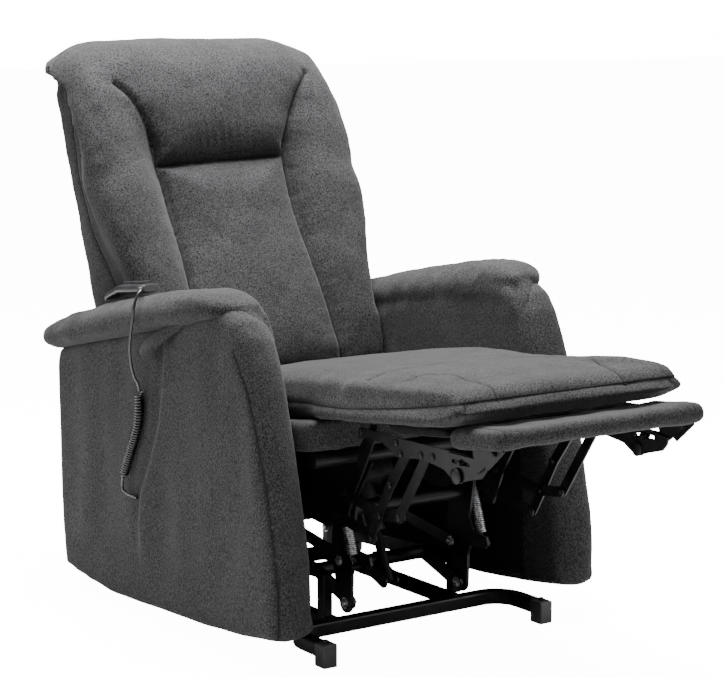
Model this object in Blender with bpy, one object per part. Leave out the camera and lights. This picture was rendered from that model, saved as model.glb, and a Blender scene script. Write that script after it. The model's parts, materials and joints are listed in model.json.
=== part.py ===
"""Lift recliner chair: an upholstered armchair on a powered steel lift base.

Units are metres and +Z is up. The chair faces -Y and X = 0 is its middle plane. Heights are
above the floor. Depths (Y) are counted from the front corner of the front feet, and the empty
"chair_middle", which carries every piece, moves that point so that the chair's box is centred.
Side pieces are made by loops over SIDES: -1 is the sitter's right, +1 the sitter's left.
"""
import math

import bmesh
import bpy
from mathutils import Matrix, Vector

# ---- driving dimensions ----------------------------------------------------------------------
CENTRE_DEPTH = 0.3078          # depth of the middle of the chair's box
GAP = 0.0004                   # clearance between pieces that touch
SIDES = {"right": -1, "left": 1}

ARM_INNER_X = 0.2875           # inner face of a side panel
ARM_OUTER_X = 0.387            # outer face of a side panel
PAD_OUTER_X = 0.411            # outer edge of an arm pad
SEAT_HALF = 0.262              # half width of the seat and calf pads
BACK_HALF = 0.282              # half width of the back between the arms
HEAD_HALF = 0.300              # half width of the head cushion
EAR_HALF = 0.345               # half width over the head cushion's rolled ends
BOARD_HALF = 0.241             # half width of the footboard

PLATE = 0.005                  # steel plate
LINK = 0.004                   # steel link bars
LINK_HALF_WIDTH = 0.0105
TUBE_R = 0.014                 # half the width of the frame tubes

# layers of the mechanism, as distances from the middle plane to each layer's inner face
LIFT_LINK_X = 0.127
LIFT_PLATE_X = 0.137
POST_X = 0.148
SIDE_PLATE_X = 0.176
FRONT_LINK_X = 0.184
DIAGONAL_X = 0.191
BRACKET_X = 0.2045

# joint axes, all along X, as (depth, height)
ARM_PIVOT = (0.600, 0.100)     # lift arm on its post
ARM_TIP = (0.124, 0.080)       # lift arm in the lift plate
LINK_PIVOT = (0.586, 0.225)    # upper lift link on its post
LINK_TIP = (0.144, 0.161)      # upper lift link in the lift plate (the open pivot)
MOTOR_PIVOT = (0.300, 0.340)   # lift motor under the seat
ROD_END = (0.180, 0.090)       # lift rod at the lug of the arms' cross tube
LEG_PIVOT = (-0.027, 0.449)    # legrest at the front of the seat
UPPER_REAR = (0.062, 0.316)    # upper rail link on the side plate
UPPER_MIDDLE = (-0.064, 0.296)
UPPER_FRONT = (-0.126, 0.304)
LOWER_REAR = (0.0905, 0.269)   # lower rail link on the side plate
BACK_PIVOT = (0.640, 0.430)    # back on the side plates
RECLINE_ROD_END = (0.655, 0.321)


def shifted(point, start, end):
    """The point moved by the way from start to end."""
    return (point[0] + end[0] - start[0], point[1] + end[1] - start[1])


LOWER_FRONT = shifted(LOWER_REAR, UPPER_REAR, UPPER_MIDDLE)
INNER_TOP = shifted(LEG_PIVOT, UPPER_REAR, UPPER_MIDDLE)
OUTER_TOP = shifted(LEG_PIVOT, UPPER_REAR, UPPER_FRONT)
ROLLER = (-0.100, 0.360)       # bend of the inner diagonal

# ---- materials -------------------------------------------------------------------------------
FINISHES = {                   # name: colour, roughness, metallic
    "fabric": ((0.075, 0.077, 0.083), 0.95, 0.0),
    "lining": ((0.012, 0.012, 0.013), 0.90, 0.0),
    "steel": ((0.018, 0.018, 0.020), 0.42, 0.6),
    "zinc": ((0.55, 0.55, 0.56), 0.32, 1.0),
    "plastic": ((0.020, 0.020, 0.022), 0.45, 0.0),
    "grey_plastic": ((0.085, 0.088, 0.095), 0.38, 0.0),
    "cord": ((0.012, 0.012, 0.013), 0.50, 0.0),
}


def make_material(node_name, finish):
    colour, roughness, metallic = FINISHES[finish]
    material = bpy.data.materials.new(node_name + "_" + finish)
    material.use_nodes = True
    shader = material.node_tree.nodes["Principled BSDF"]
    shader.inputs["Base Color"].default_value = (*colour, 1.0)
    shader.inputs["Roughness"].default_value = roughness
    shader.inputs["Metallic"].default_value = metallic
    return material


# ---- helpers ---------------------------------------------------------------------------------
pivots = {}


def pivot_empty(name, depth, height, parent="chair_middle"):
    """An empty on a joint's axis; the pieces of the moving body hang from it."""
    empty = bpy.data.objects.new(name, None)
    empty.empty_display_size = 0.03
    bpy.context.scene.collection.objects.link(empty)
    place = Vector((0.0, depth, height))
    if parent:
        empty.parent = pivots[parent][0]
        empty.location = place - pivots[parent][1]
    else:
        empty.location = Vector((0.0, -CENTRE_DEPTH, 0.0))
    pivots[name] = (empty, place if parent else Vector((0.0, 0.0, 0.0)))


def hang(obj, finish, body):
    """Give a new object its material and hang it from its body's empty."""
    obj.data.materials.append(make_material(obj.name, finish))
    bpy.context.scene.collection.objects.link(obj)
    empty, place = pivots[body]
    obj.parent = empty
    obj.location = -place
    return obj


def mesh_object(name, shape, finish, body, crease_degrees=35.0):
    bmesh.ops.recalc_face_normals(shape, faces=shape.faces)
    mesh = bpy.data.meshes.new(name)
    shape.to_mesh(mesh)
    shape.free()
    mesh.shade_smooth()
    mesh.set_sharp_from_angle(angle=math.radians(crease_degrees))
    return hang(bpy.data.objects.new(name, mesh), finish, body)


def soften(obj, width, segments=2, angle_degrees=40.0):
    bevel = obj.modifiers.new("soft_edges", "BEVEL")
    bevel.width = width
    bevel.segments = segments
    bevel.limit_method = "ANGLE"
    bevel.angle_limit = math.radians(angle_degrees)
    bevel.use_clamp_overlap = True
    return obj


def profile(name, outline, x_low, x_high, finish, body):
    """A side outline of (depth, height) points, extruded from x_low to x_high."""
    shape = bmesh.new()
    ring = [shape.verts.new((x_low, depth, height)) for depth, height in outline]
    face = shape.faces.new(ring)
    made = bmesh.ops.extrude_face_region(shape, geom=[face])
    moved = [item for item in made["geom"] if isinstance(item, bmesh.types.BMVert)]
    bmesh.ops.translate(shape, verts=moved, vec=(x_high - x_low, 0.0, 0.0))
    return mesh_object(name, shape, finish, body)


def side_profile(name, outline, side, inner, thickness, finish, body):
    """The same, with its inner face at a distance from the middle plane, on one side."""
    x_low, x_high = sorted((side * inner, side * (inner + thickness)))
    return profile(name, outline, x_low, x_high, finish, body)


def curve_through(points, steps):
    """Points of a smooth curve through the given ones, steps per stretch."""
    result = []
    count = len(points)
    for i in range(count - 1):
        before = Vector(points[max(i - 1, 0)])
        start = Vector(points[i])
        end = Vector(points[i + 1])
        after = Vector(points[min(i + 2, count - 1)])
        for step in range(steps):
            t = step / steps
            result.append(tuple(
                0.5 * (2 * start + (end - before) * t
                       + (2 * before - 5 * start + 4 * end - after) * t ** 2
                       + (3 * start - before - 3 * end + after) * t ** 3)))
    result.append(tuple(points[-1]))
    return result


def arc(centre, radius, start_degrees, end_degrees, steps):
    """Points of an arc in the side view; 0 degrees is along +Y and 90 degrees is up."""
    points = []
    for step in range(steps + 1):
        angle = math.radians(start_degrees + (end_degrees - start_degrees) * step / steps)
        points.append((centre[0] + radius * math.cos(angle), centre[1] + radius * math.sin(angle)))
    return points


def band(points, half_width, end_steps=5):
    """Outline of a flat bar with round ends that runs through the points."""
    headings = []
    for start, end in zip(points, points[1:]):
        headings.append(math.degrees(math.atan2(end[1] - start[1], end[0] - start[0])))
    corners = {1: [], -1: []}
    for point, first, second in zip(points[1:-1], headings, headings[1:]):
        turn = (second - first + 180) % 360 - 180
        reach = half_width / math.cos(math.radians(turn / 2))
        for hand, side_corners in corners.items():
            across = math.radians(first + turn / 2 + hand * 90)
            side_corners.append((point[0] + reach * math.cos(across), point[1] + reach * math.sin(across)))
    outline = arc(points[-1], half_width, headings[-1] - 90, headings[-1] + 90, end_steps)
    outline += reversed(corners[1])
    outline += arc(points[0], half_width, headings[0] + 90, headings[0] + 270, end_steps)
    return outline + corners[-1]


def block(name, low, high, finish, body, edge=0.0):
    shape = bmesh.new()
    size = Vector(high) - Vector(low)
    middle = (Vector(high) + Vector(low)) / 2
    bmesh.ops.create_cube(shape, size=1.0, matrix=Matrix.Translation(middle) @ Matrix.Diagonal((*size, 1.0)))
    obj = mesh_object(name, shape, finish, body)
    return soften(obj, edge) if edge else obj


def cylinder_shape(start, end, radius, sides, end_radius=None):
    start = Vector(start)
    end = Vector(end)
    turn = (end - start).to_track_quat("Z", "Y").to_matrix().to_4x4()
    shape = bmesh.new()
    bmesh.ops.create_cone(
        shape, cap_ends=True, segments=sides, radius1=radius, radius2=end_radius or radius,
        depth=(end - start).length, matrix=Matrix.Translation((start + end) / 2) @ turn)
    return shape


def rod(name, start, end, radius, finish, body, sides=20):
    return mesh_object(name, cylinder_shape(start, end, radius, sides), finish, body)


def bent_tube(name, points, radius, finish, body, resolution=2):
    """A round tube along the points, with closed ends."""
    curve = bpy.data.curves.new(name, "CURVE")
    curve.dimensions = "3D"
    curve.bevel_depth = radius
    curve.bevel_resolution = resolution
    curve.use_fill_caps = True
    curve.resolution_u = 1
    spline = curve.splines.new("POLY")
    spline.points.add(len(points) - 1)
    for vertex, point in zip(spline.points, points):
        vertex.co = (*point, 1.0)
    spline.use_smooth = True
    return hang(bpy.data.objects.new(name, curve), finish, body)


def join_with(obj, other):
    """Make other part of obj by a Boolean union, and take other away."""
    union = obj.modifiers.new("join_" + other.name, "BOOLEAN")
    union.operation = "UNION"
    union.object = other
    other.hide_render = True
    other.display_type = "WIRE"


def loft(name, sections, finish, body):
    """A closed body through rings of the same number of points."""
    shape = bmesh.new()
    rings = [[shape.verts.new(point) for point in section] for section in sections]
    count = len(rings[0])
    for first, second in zip(rings, rings[1:]):
        for i in range(count):
            j = (i + 1) % count
            shape.faces.new((first[i], first[j], second[j], second[i]))
    shape.faces.new(rings[0])
    shape.faces.new(list(reversed(rings[-1])))
    return mesh_object(name, shape, finish, body, 60.0)


# ---- lift base, on the floor -----------------------------------------------------------------
FLOOR_TUBE_HEIGHT = 0.031
FRONT_TUBE_DEPTH = 0.145
REAR_TUBE_DEPTH = 0.640
FOOT_X = 0.259
FOOT_HALF_WIDTH = 0.0155
FOOT_HEIGHT = 0.040
FRONT_FOOT_DEPTHS = (0.000, 0.034)
REAR_FOOT_DEPTHS = (0.760, 0.794)


def square_section(half, corner):
    """Outline of a square tube with round corners, as (across, up) points."""
    outline = []
    flat = half - corner
    for turn, (across, up) in enumerate(((flat, flat), (-flat, flat), (-flat, -flat), (flat, -flat))):
        for step in (0, 45, 90):
            angle = math.radians(90 * turn + step)
            outline.append((across + corner * math.cos(angle), up + corner * math.sin(angle)))
    return outline


def floor_tube(name, tube_depth, foot_face_depth):
    """A square cross tube whose ends bend towards the feet."""
    toward = math.copysign(1.0, foot_face_depth - tube_depth)
    bend = 0.055
    path = [(-FOOT_X, foot_face_depth)]
    path.append((-FOOT_X, tube_depth + toward * (bend + 0.004)))
    for angle in range(15, 90, 15):
        turn = math.radians(angle)
        path.append((-FOOT_X + bend * (1 - math.cos(turn)), tube_depth + toward * bend * (1 - math.sin(turn))))
    path.append((-FOOT_X + bend, tube_depth))
    path += [(-x, depth) for x, depth in reversed(path)]
    path = [Vector((x, depth, FLOOR_TUBE_HEIGHT)) for x, depth in path]
    sections = []
    for i, point in enumerate(path):
        run = (path[min(i + 1, len(path) - 1)] - path[max(i - 1, 0)]).normalized()
        sections.append([point + Vector((-run.y * across, run.x * across, up))
                         for across, up in square_section(TUBE_R, 0.004)])
    return loft(name, sections, "steel", "chair_middle")


def lift_base():
    floor_tube("base_front_tube", FRONT_TUBE_DEPTH, FRONT_FOOT_DEPTHS[1] + GAP)
    floor_tube("base_rear_tube", REAR_TUBE_DEPTH, REAR_FOOT_DEPTHS[0] - GAP)
    for side_name, side in SIDES.items():
        for end, depths in (("front", FRONT_FOOT_DEPTHS), ("rear", REAR_FOOT_DEPTHS)):
            block(f"foot_{end}_{side_name}", (side * FOOT_X - FOOT_HALF_WIDTH, depths[0], 0.0),
                  (side * FOOT_X + FOOT_HALF_WIDTH, depths[1], FOOT_HEIGHT + 0.006),
                  "plastic", "chair_middle", 0.003)
        clear = TUBE_R + GAP
        x_low, x_high = sorted((side * (POST_X - 0.0125), side * (POST_X + 0.0125)))
        block(f"base_rail_{side_name}", (x_low, FRONT_TUBE_DEPTH + clear, 0.018),
              (x_high, REAR_TUBE_DEPTH - clear, 0.044), "steel", "chair_middle", 0.003)
        stop_x = side * (POST_X + 0.009)
        block(f"rest_stop_{side_name}", (stop_x - 0.0105, 0.163, 0.044 + GAP),
              (stop_x + 0.0105, 0.187, 0.132), "steel", "chair_middle", 0.002)
        block(f"lift_post_{side_name}", (x_low, 0.578, 0.044 + GAP), (x_high, 0.616, 0.246),
              "steel", "chair_middle", 0.003)


# ---- lift linkage ----------------------------------------------------------------------------
ARM_BEND = (0.245, 0.118)


def lift_linkage():
    for side_name, side in SIDES.items():
        side_profile(f"lift_arm_{side_name}", band([ARM_TIP, ARM_BEND, ARM_PIVOT], 0.0145), side,
                     LIFT_LINK_X, PLATE + 0.001, "steel", "lift_arm_axis")
        side_profile(f"lift_link_{side_name}", band([LINK_TIP, LINK_PIVOT], 0.0115), side,
                     LIFT_LINK_X, PLATE + 0.001, "steel", "lift_link_axis")
    reach = LIFT_LINK_X - GAP
    rod("lift_arm_cross_tube", (-reach, *ARM_BEND), (reach, *ARM_BEND), TUBE_R, "steel", "lift_arm_axis")


def along(start, end, distance):
    """The point at a distance from start towards end, in the side view."""
    way = Vector(end) - Vector(start)
    way.normalize()
    return tuple(Vector(start) + way * distance)


def bore(obj, start, end, radius, body):
    """Cut a round hole into obj along the way from start to end."""
    cutter = mesh_object(obj.name + "_bore_form", cylinder_shape(start, end, radius, 24), "steel", body)
    cut = obj.modifiers.new("bore", "BOOLEAN")
    cut.operation = "DIFFERENCE"
    cut.object = cutter
    cutter.hide_render = True
    cutter.display_type = "WIRE"


LIFT_CASE_LENGTH = 0.175
LIFT_ROD_INSIDE = 0.080        # length of the rod that is inside the case at rest
LIFT_ROD_R = 0.010
BORE_CLEARANCE = 0.0006


def lift_actuator():
    """Gear motor with its guide tube under the seat, and the rod that moves the arms' cross tube."""
    case_end = along(MOTOR_PIVOT, ROD_END, LIFT_CASE_LENGTH)
    shape = cylinder_shape((0.0, *MOTOR_PIVOT), (0.0, *case_end), 0.019, 24)
    case = mesh_object("lift_motor", shape, "grey_plastic", "lift_motor_axis")
    gear_place = along(MOTOR_PIVOT, ROD_END, 0.050)
    gear = cylinder_shape((-0.036, *gear_place), (0.036, *gear_place), 0.031, 24)
    join_with(case, mesh_object("lift_gearbox_form", gear, "grey_plastic", "lift_motor_axis"))
    rod_start = LIFT_CASE_LENGTH - LIFT_ROD_INSIDE
    bore_start = along(MOTOR_PIVOT, ROD_END, rod_start - 0.002)
    bore_end = along(MOTOR_PIVOT, ROD_END, LIFT_CASE_LENGTH + 0.01)
    bore(case, (0.0, *bore_start), (0.0, *bore_end), LIFT_ROD_R + BORE_CLEARANCE, "lift_motor_axis")
    rod("lift_rod", (0.0, *along(MOTOR_PIVOT, ROD_END, rod_start)), (0.0, *ROD_END), LIFT_ROD_R,
        "zinc", "lift_rod_axis", 16)


# ---- seat frame ------------------------------------------------------------------------------
FRONT_CROSS = (0.045, 0.389)
TORQUE_TUBE = (0.125, 0.265)
REAR_CROSS = (0.595, 0.280)
SPRING_X = 0.1555
SPRING_LOW = (0.072, 0.166)
SPRING_TOP = (0.130, 0.332)


def seat_frame():
    lift_plate = [(0.104, 0.080)] + arc(ARM_TIP, 0.020, 180, 360, 8)
    lift_plate += [(0.168, 0.150), (0.170, 0.200), (0.160, 0.300), (0.125, 0.3735), (0.032, 0.3735)]
    lift_plate += [(0.082, 0.300), (0.098, 0.215), (0.085, 0.193), (0.042, 0.187), (0.036, 0.172)]
    lift_plate += [(0.046, 0.163), (0.094, 0.160), (0.102, 0.140)]
    side_plate = [(0.046, 0.300), (0.070, 0.245), (0.150, 0.238), (0.400, 0.262), (0.585, 0.262)]
    side_plate += [(0.650, 0.290), (0.668, 0.350)]
    side_plate += arc(BACK_PIVOT, 0.024, -10, 180, 8)
    side_plate += [(0.609, 0.370), (0.600, 0.334), (0.120, 0.3735), (0.028, 0.3735), (0.024, 0.402)]
    side_plate += arc(LEG_PIVOT, 0.011, 40, 220, 6)
    side_plate += [(0.004, 0.370), (0.030, 0.330)]
    for side_name, side in SIDES.items():
        side_profile(f"lift_plate_{side_name}", lift_plate, side, LIFT_PLATE_X, PLATE + 0.001,
                     "steel", "chassis_axis")
        side_profile(f"side_plate_{side_name}", side_plate, side, SIDE_PLATE_X, PLATE,
                     "steel", "chassis_axis")
        rod(f"return_spring_{side_name}", (side * SPRING_X, *SPRING_LOW),
            (side * SPRING_X, *SPRING_TOP), 0.0105, "zinc", "chassis_axis", 16)
    rod("front_cross_tube", (-0.270, *FRONT_CROSS), (0.270, *FRONT_CROSS), 0.0150, "steel", "chassis_axis")
    reach = LIFT_PLATE_X - GAP
    rod("torque_tube", (-reach, *TORQUE_TUBE), (reach, *TORQUE_TUBE), TUBE_R, "steel", "chassis_axis")
    reach = SIDE_PLATE_X - GAP
    rod("rear_cross_tube", (-reach, *REAR_CROSS), (reach, *REAR_CROSS), TUBE_R, "steel", "chassis_axis")
    block("control_box", (-0.120, 0.400, 0.285), (-0.030, 0.560, 0.325), "plastic", "chassis_axis", 0.006)


RECLINE_CASE = (0.300, 0.520)  # depths of the case's ends
RECLINE_ROD_X = 0.060
RECLINE_ROD_R = 0.009
RECLINE_ROD_INSIDE = 0.030
RECLINE_STROKE_IN = 0.054      # way the rod goes into the case as the back reclines


def recline_actuator():
    """Gear motor on the seat frame, and the rod that tilts the back."""
    height = RECLINE_ROD_END[1]
    front, rear = RECLINE_CASE
    case = rod("recline_motor", (RECLINE_ROD_X, front, height), (RECLINE_ROD_X, rear, height), 0.018,
               "grey_plastic", "chassis_axis", 24)
    gear = cylinder_shape((RECLINE_ROD_X - 0.020, front + 0.030, height - 0.034),
                          (RECLINE_ROD_X + 0.036, front + 0.030, height - 0.034), 0.028, 24)
    join_with(case, mesh_object("recline_gearbox_form", gear, "grey_plastic", "chassis_axis"))
    rod_start = rear - RECLINE_ROD_INSIDE
    bore(case, (RECLINE_ROD_X, rod_start - RECLINE_STROKE_IN - 0.002, height),
         (RECLINE_ROD_X, rear + 0.01, height), RECLINE_ROD_R + BORE_CLEARANCE, "chassis_axis")
    rod("recline_rod", (RECLINE_ROD_X, rod_start, height), (RECLINE_ROD_X, *RECLINE_ROD_END),
        RECLINE_ROD_R, "zinc", "recline_rod_axis", 16)


# ---- upholstered body ------------------------------------------------------------------------
PANEL_TOP = [(0.171, 0.645), (0.230, 0.646), (0.319, 0.628), (0.479, 0.594), (0.651, 0.553), (0.852, 0.514)]


def side_panels():
    front = curve_through([(0.002, 0.086), (-0.002, 0.150), (0.005, 0.216), (0.016, 0.276), (0.030, 0.350),
                           (0.048, 0.440), (0.070, 0.520), (0.092, 0.560), (0.123, 0.605), (0.171, 0.645)], 2)
    floor_edge = curve_through([(0.842, 0.045), (0.726, 0.031), (0.636, 0.025), (0.465, 0.033),
                                (0.264, 0.049), (0.002, 0.086)], 2)
    outline = floor_edge[:-1] + front[:-1] + PANEL_TOP + [(0.853, 0.300)]
    for side_name, side in SIDES.items():
        obj = side_profile(f"side_panel_{side_name}", outline, side, ARM_INNER_X,
                           ARM_OUTER_X - ARM_INNER_X, "fabric", "chassis_axis")
        soften(obj, 0.012)


def arm_pads():
    """Padded arm tops with a rounded nose over the front of the side panels."""
    top = curve_through([(0.918, 0.540), (0.740, 0.601), (0.570, 0.641), (0.400, 0.671), (0.250, 0.693),
                         (0.170, 0.698), (0.124, 0.688), (0.102, 0.668), (0.112, 0.652)], 3)
    under = [(0.1705, 0.6480)] + [(depth, height + 0.002) for depth, height in PANEL_TOP[1:]]
    outline = top + under + [(0.903, 0.516)]
    for side_name, side in SIDES.items():
        obj = side_profile(f"arm_pad_{side_name}", outline, side, ARM_INNER_X - 0.001,
                           PAD_OUTER_X - ARM_INNER_X + 0.001, "fabric", "chassis_axis")
        soften(obj, 0.014)


def seat():
    seat_box = [(0.030, 0.4090), (0.600, 0.338), (0.600, 0.3950), (0.559, 0.4020), (0.030, 0.4660)]
    obj = profile("seat_box", seat_box, -0.281, 0.281, "fabric", "chassis_axis")
    soften(obj, 0.006)
    cushion = [(-0.0262, 0.4740), (0.030, 0.4672), (0.556, 0.4035), (0.566, 0.4400), (0.556, 0.4720)]
    cushion += [(0.475, 0.4860), (0.316, 0.5150), (0.179, 0.5360), (0.018, 0.5510), (-0.0262, 0.5550)]
    obj = profile("seat_cushion", cushion, -SEAT_HALF, SEAT_HALF, "fabric", "chassis_axis")
    soften(obj, 0.012)
    rear = [(0.836, 0.055), (0.846, 0.055), (0.846, 0.355), (0.836, 0.355)]
    profile("rear_panel", rear, -0.284, 0.284, "fabric", "chassis_axis")


def legrest():
    pad = [(-0.0278, 0.4744), (-0.0278, 0.5552), (-0.155, 0.5660), (-0.277, 0.5800), (-0.350, 0.5840)]
    pad += [(-0.380, 0.5700), (-0.375, 0.5450), (-0.342, 0.5100), (-0.161, 0.4890)]
    obj = profile("calf_pad", pad, -SEAT_HALF, SEAT_HALF, "fabric", "legrest_axis")
    soften(obj, 0.010)
    board = [(-0.161, 0.4680), (-0.133, 0.4800), (-0.161, 0.4860), (-0.312, 0.5000), (-0.317, 0.4950),
             (-0.311, 0.4850)]
    profile("legrest_board", board, -0.225, 0.225, "fabric", "legrest_axis")
    bracket = arc(LEG_PIVOT, 0.009, 90, -90, 6)
    bracket += [(-0.120, 0.438), (-0.137, 0.414), (-0.165, 0.4135), (-0.200, 0.4185), (-0.232, 0.4200)]
    bracket += [(-0.262, 0.4150), (-0.308, 0.4050), (-0.352, 0.4110), (-0.384, 0.4240), (-0.404, 0.4430)]
    bracket += [(-0.404, 0.4550)]
    bracket += [(-0.340, 0.462), (-0.160, 0.457)]
    for side_name, side in SIDES.items():
        side_profile(f"legrest_bracket_{side_name}", bracket, side, BRACKET_X, LINK, "steel", "legrest_axis")


BOARD_REAR = (-0.345, 0.4860)
BOARD_FRONT = (-0.452, 0.4995)


def footboard():
    """Padded board at the end of the legrest, with its two slotted arms."""
    board = band([BOARD_FRONT, BOARD_REAR], 0.0145, 6)
    obj = profile("footboard", board, -BOARD_HALF, BOARD_HALF, "fabric", "footboard_axis")
    arm = [(-0.300, 0.438), (-0.385, 0.434), (-0.446, 0.478), (-0.440, 0.492), (-0.370, 0.480)]
    arm += [(-0.376, 0.458), (-0.300, 0.458)]
    for side_name, side in SIDES.items():
        join_with(obj, side_profile(f"footboard_arm_{side_name}_form", arm, side, BRACKET_X + LINK + GAP,
                                    LINK, "steel", "footboard_axis"))


def legrest_links():
    bars = {
        "upper_rail": ([UPPER_REAR, UPPER_MIDDLE, UPPER_FRONT], FRONT_LINK_X, "upper_rail_axis"),
        "lower_rail": ([LOWER_REAR, LOWER_FRONT], FRONT_LINK_X, "lower_rail_axis"),
        "inner_diagonal": ([LOWER_FRONT, UPPER_MIDDLE, ROLLER, INNER_TOP], DIAGONAL_X,
                           "inner_diagonal_axis"),
        "outer_diagonal": ([UPPER_FRONT, OUTER_TOP], DIAGONAL_X, "outer_diagonal_axis"),
    }
    for name, (points, layer, body) in bars.items():
        for side_name, side in SIDES.items():
            side_profile(f"{name}_{side_name}", band(points, LINK_HALF_WIDTH), side, layer, LINK,
                         "steel", body)


# ---- back ------------------------------------------------------------------------------------
SPINE_LINE = [(0.698, 0.380), (0.700, 0.500), (0.760, 0.700), (0.830, 0.893), (0.912, 1.120)]


def back():
    frame = SPINE_LINE + [(0.950, 1.132), (1.040, 1.122), (1.078, 1.090), (0.985, 0.830), (0.895, 0.583)]
    frame += [(0.872, 0.528)] + arc(BACK_PIVOT, 0.190, 26, -38, 8) + [(0.735, 0.345)]
    obj = profile("back_frame", frame, -BACK_HALF, BACK_HALF, "fabric", "back_axis")
    soften(obj, 0.010)
    rear = [(depth - GAP, height) for depth, height in SPINE_LINE[1:4]]
    front = curve_through([(0.762, 0.893), (0.738, 0.860), (0.690, 0.745), (0.640, 0.640),
                           (0.602, 0.555), (0.592, 0.500)], 2)
    obj = profile("back_cushion", rear + front, -BACK_HALF, BACK_HALF, "fabric", "back_axis")
    soften(obj, 0.012)
    head_cushion()


def head_cushion():
    """Cushion over the top of the back, whose ends roll out into two ears."""
    rings = []
    wrap = [(0.8292, 0.8937), (0.9113, 1.1208), (0.9497, 1.1328), (1.0403, 1.1228), (1.0787, 1.0960)]
    head_face = [(1.0820, 1.1350), (1.0350, 1.1500), (0.9700, 1.1570), (0.9150, 1.1500), (0.8650, 1.1150),
                 (0.8250, 1.0350), (0.7850, 0.9500), (0.7640, 0.8940)]
    body = wrap + head_face
    ear_centre = Vector((0.965, 1.116))
    stations = [(-EAR_HALF, 0.16), (-0.333, 0.26), (-HEAD_HALF, None), (HEAD_HALF, None), (0.333, 0.26),
                (EAR_HALF, 0.16)]
    for x, shrink in stations:
        ring = []
        for depth, height in body:
            point = Vector((depth, height))
            if shrink:
                point = ear_centre + (point - ear_centre) * shrink
            ring.append((x, *point))
        rings.append(ring)
    loft("head_cushion", rings, "fabric", "back_axis")


# ---- handset and its cord --------------------------------------------------------------------
HANDSET_MIDDLE = (-0.348, 0.5495, 0.6663)    # middle of its front part, which holds the keys
HANDSET_SLOPE = 6.6            # degrees, slope of the front part
HANDSET_SIZE = (0.052, 0.125, 0.020)
HANDSET_TAIL = (0.694, 0.6265) # end of the rear part, which lies on the arm pad
KEY_DEPTHS = {"recline_key": 0.034, "lift_key": -0.012}
KEY_SIZE = (0.026, 0.032, 0.003)
KEY_CLEARANCE = 0.0015         # lets a key rock by 4 degrees
CORD_R = 0.00275
CURL_R = 0.0100
LEAD_ROUTE = [
    (-0.3772, 0.4970, 0.6702), (-0.3825, 0.4830, 0.6745), (-0.3890, 0.4680, 0.6760),
    (-0.3968, 0.4570, 0.6765), (-0.4055, 0.4515, 0.6725), (-0.4135, 0.4490, 0.6630),
    (-0.4187, 0.4488, 0.6470), (-0.4200, 0.4530, 0.6210), (-0.4200, 0.4625, 0.5900),
    (-0.4185, 0.4700, 0.5570), (-0.4145, 0.4720, 0.5260), (-0.4090, 0.4705, 0.5020),
    (-0.4030, 0.4698, 0.4910), (-0.3998, 0.4708, 0.4812)]
CURL_ROUTE = [(-0.3990, 0.4712, 0.4792), (-0.3990, 0.4715, 0.4360), (-0.3990, 0.4825, 0.3950),
              (-0.3990, 0.5085, 0.3500), (-0.3990, 0.5355, 0.3050), (-0.3990, 0.5455, 0.2830)]
TAIL_ROUTE = [(-0.3990, 0.5460, 0.2819), (-0.3990, 0.5500, 0.2720), (-0.3980, 0.5480, 0.2600),
              (-0.3960, 0.5380, 0.2540), (-0.3935, 0.5240, 0.2515), (-0.3910, 0.5120, 0.2505),
              (-0.3905, 0.5040, 0.2500)]


def on_handset(x, depth, height):
    """A place on the handset, counted from its middle along its own axes."""
    turn = Matrix.Rotation(math.radians(-HANDSET_SLOPE), 4, "X")
    return Matrix.Translation(HANDSET_MIDDLE) @ turn @ Matrix.Translation((x, depth, height))


def key_place(name):
    return on_handset(0.0, KEY_DEPTHS[name], HANDSET_SIZE[2] / 2 + KEY_CLEARANCE + KEY_SIZE[2] / 2)


def handset():
    """The handset's case and its two rocker keys."""
    half, thick = HANDSET_SIZE[1] / 2, HANDSET_SIZE[2] / 2
    ends = [on_handset(0.0, depth, height).translation for depth, height in
            ((half, thick), (-half, thick), (-half, -thick), (half, -thick))]
    outline = [(end.y, end.z) for end in ends]
    outline += [(HANDSET_TAIL[0] - 0.003, HANDSET_TAIL[1] - 0.009), (HANDSET_TAIL[0] + 0.003, HANDSET_TAIL[1] + 0.009)]
    middle = HANDSET_MIDDLE[0]
    case = profile("handset_case", outline, middle - HANDSET_SIZE[0] / 2, middle + HANDSET_SIZE[0] / 2,
                   "grey_plastic", "chassis_axis")
    soften(case, 0.005, 3)
    for name in KEY_DEPTHS:
        shape = bmesh.new()
        bmesh.ops.create_cube(shape, size=1.0, matrix=key_place(name) @ Matrix.Diagonal((*KEY_SIZE, 1.0)))
        mesh_object(name, shape, "plastic", name + "_axis")


def handset_cord():
    bent_tube("handset_cord_lead", curve_through(LEAD_ROUTE, 3), CORD_R, "cord", "chassis_axis")
    bent_tube("handset_cord_curl", curve_through(CURL_ROUTE, 2), CURL_R, "cord", "chassis_axis", 3)
    bent_tube("handset_cord_tail", curve_through(TAIL_ROUTE, 2), CORD_R, "cord", "chassis_axis")


# ---- assembly --------------------------------------------------------------------------------
def clear_scene():
    for obj in list(bpy.data.objects):
        bpy.data.objects.remove(obj, do_unlink=True)


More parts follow.
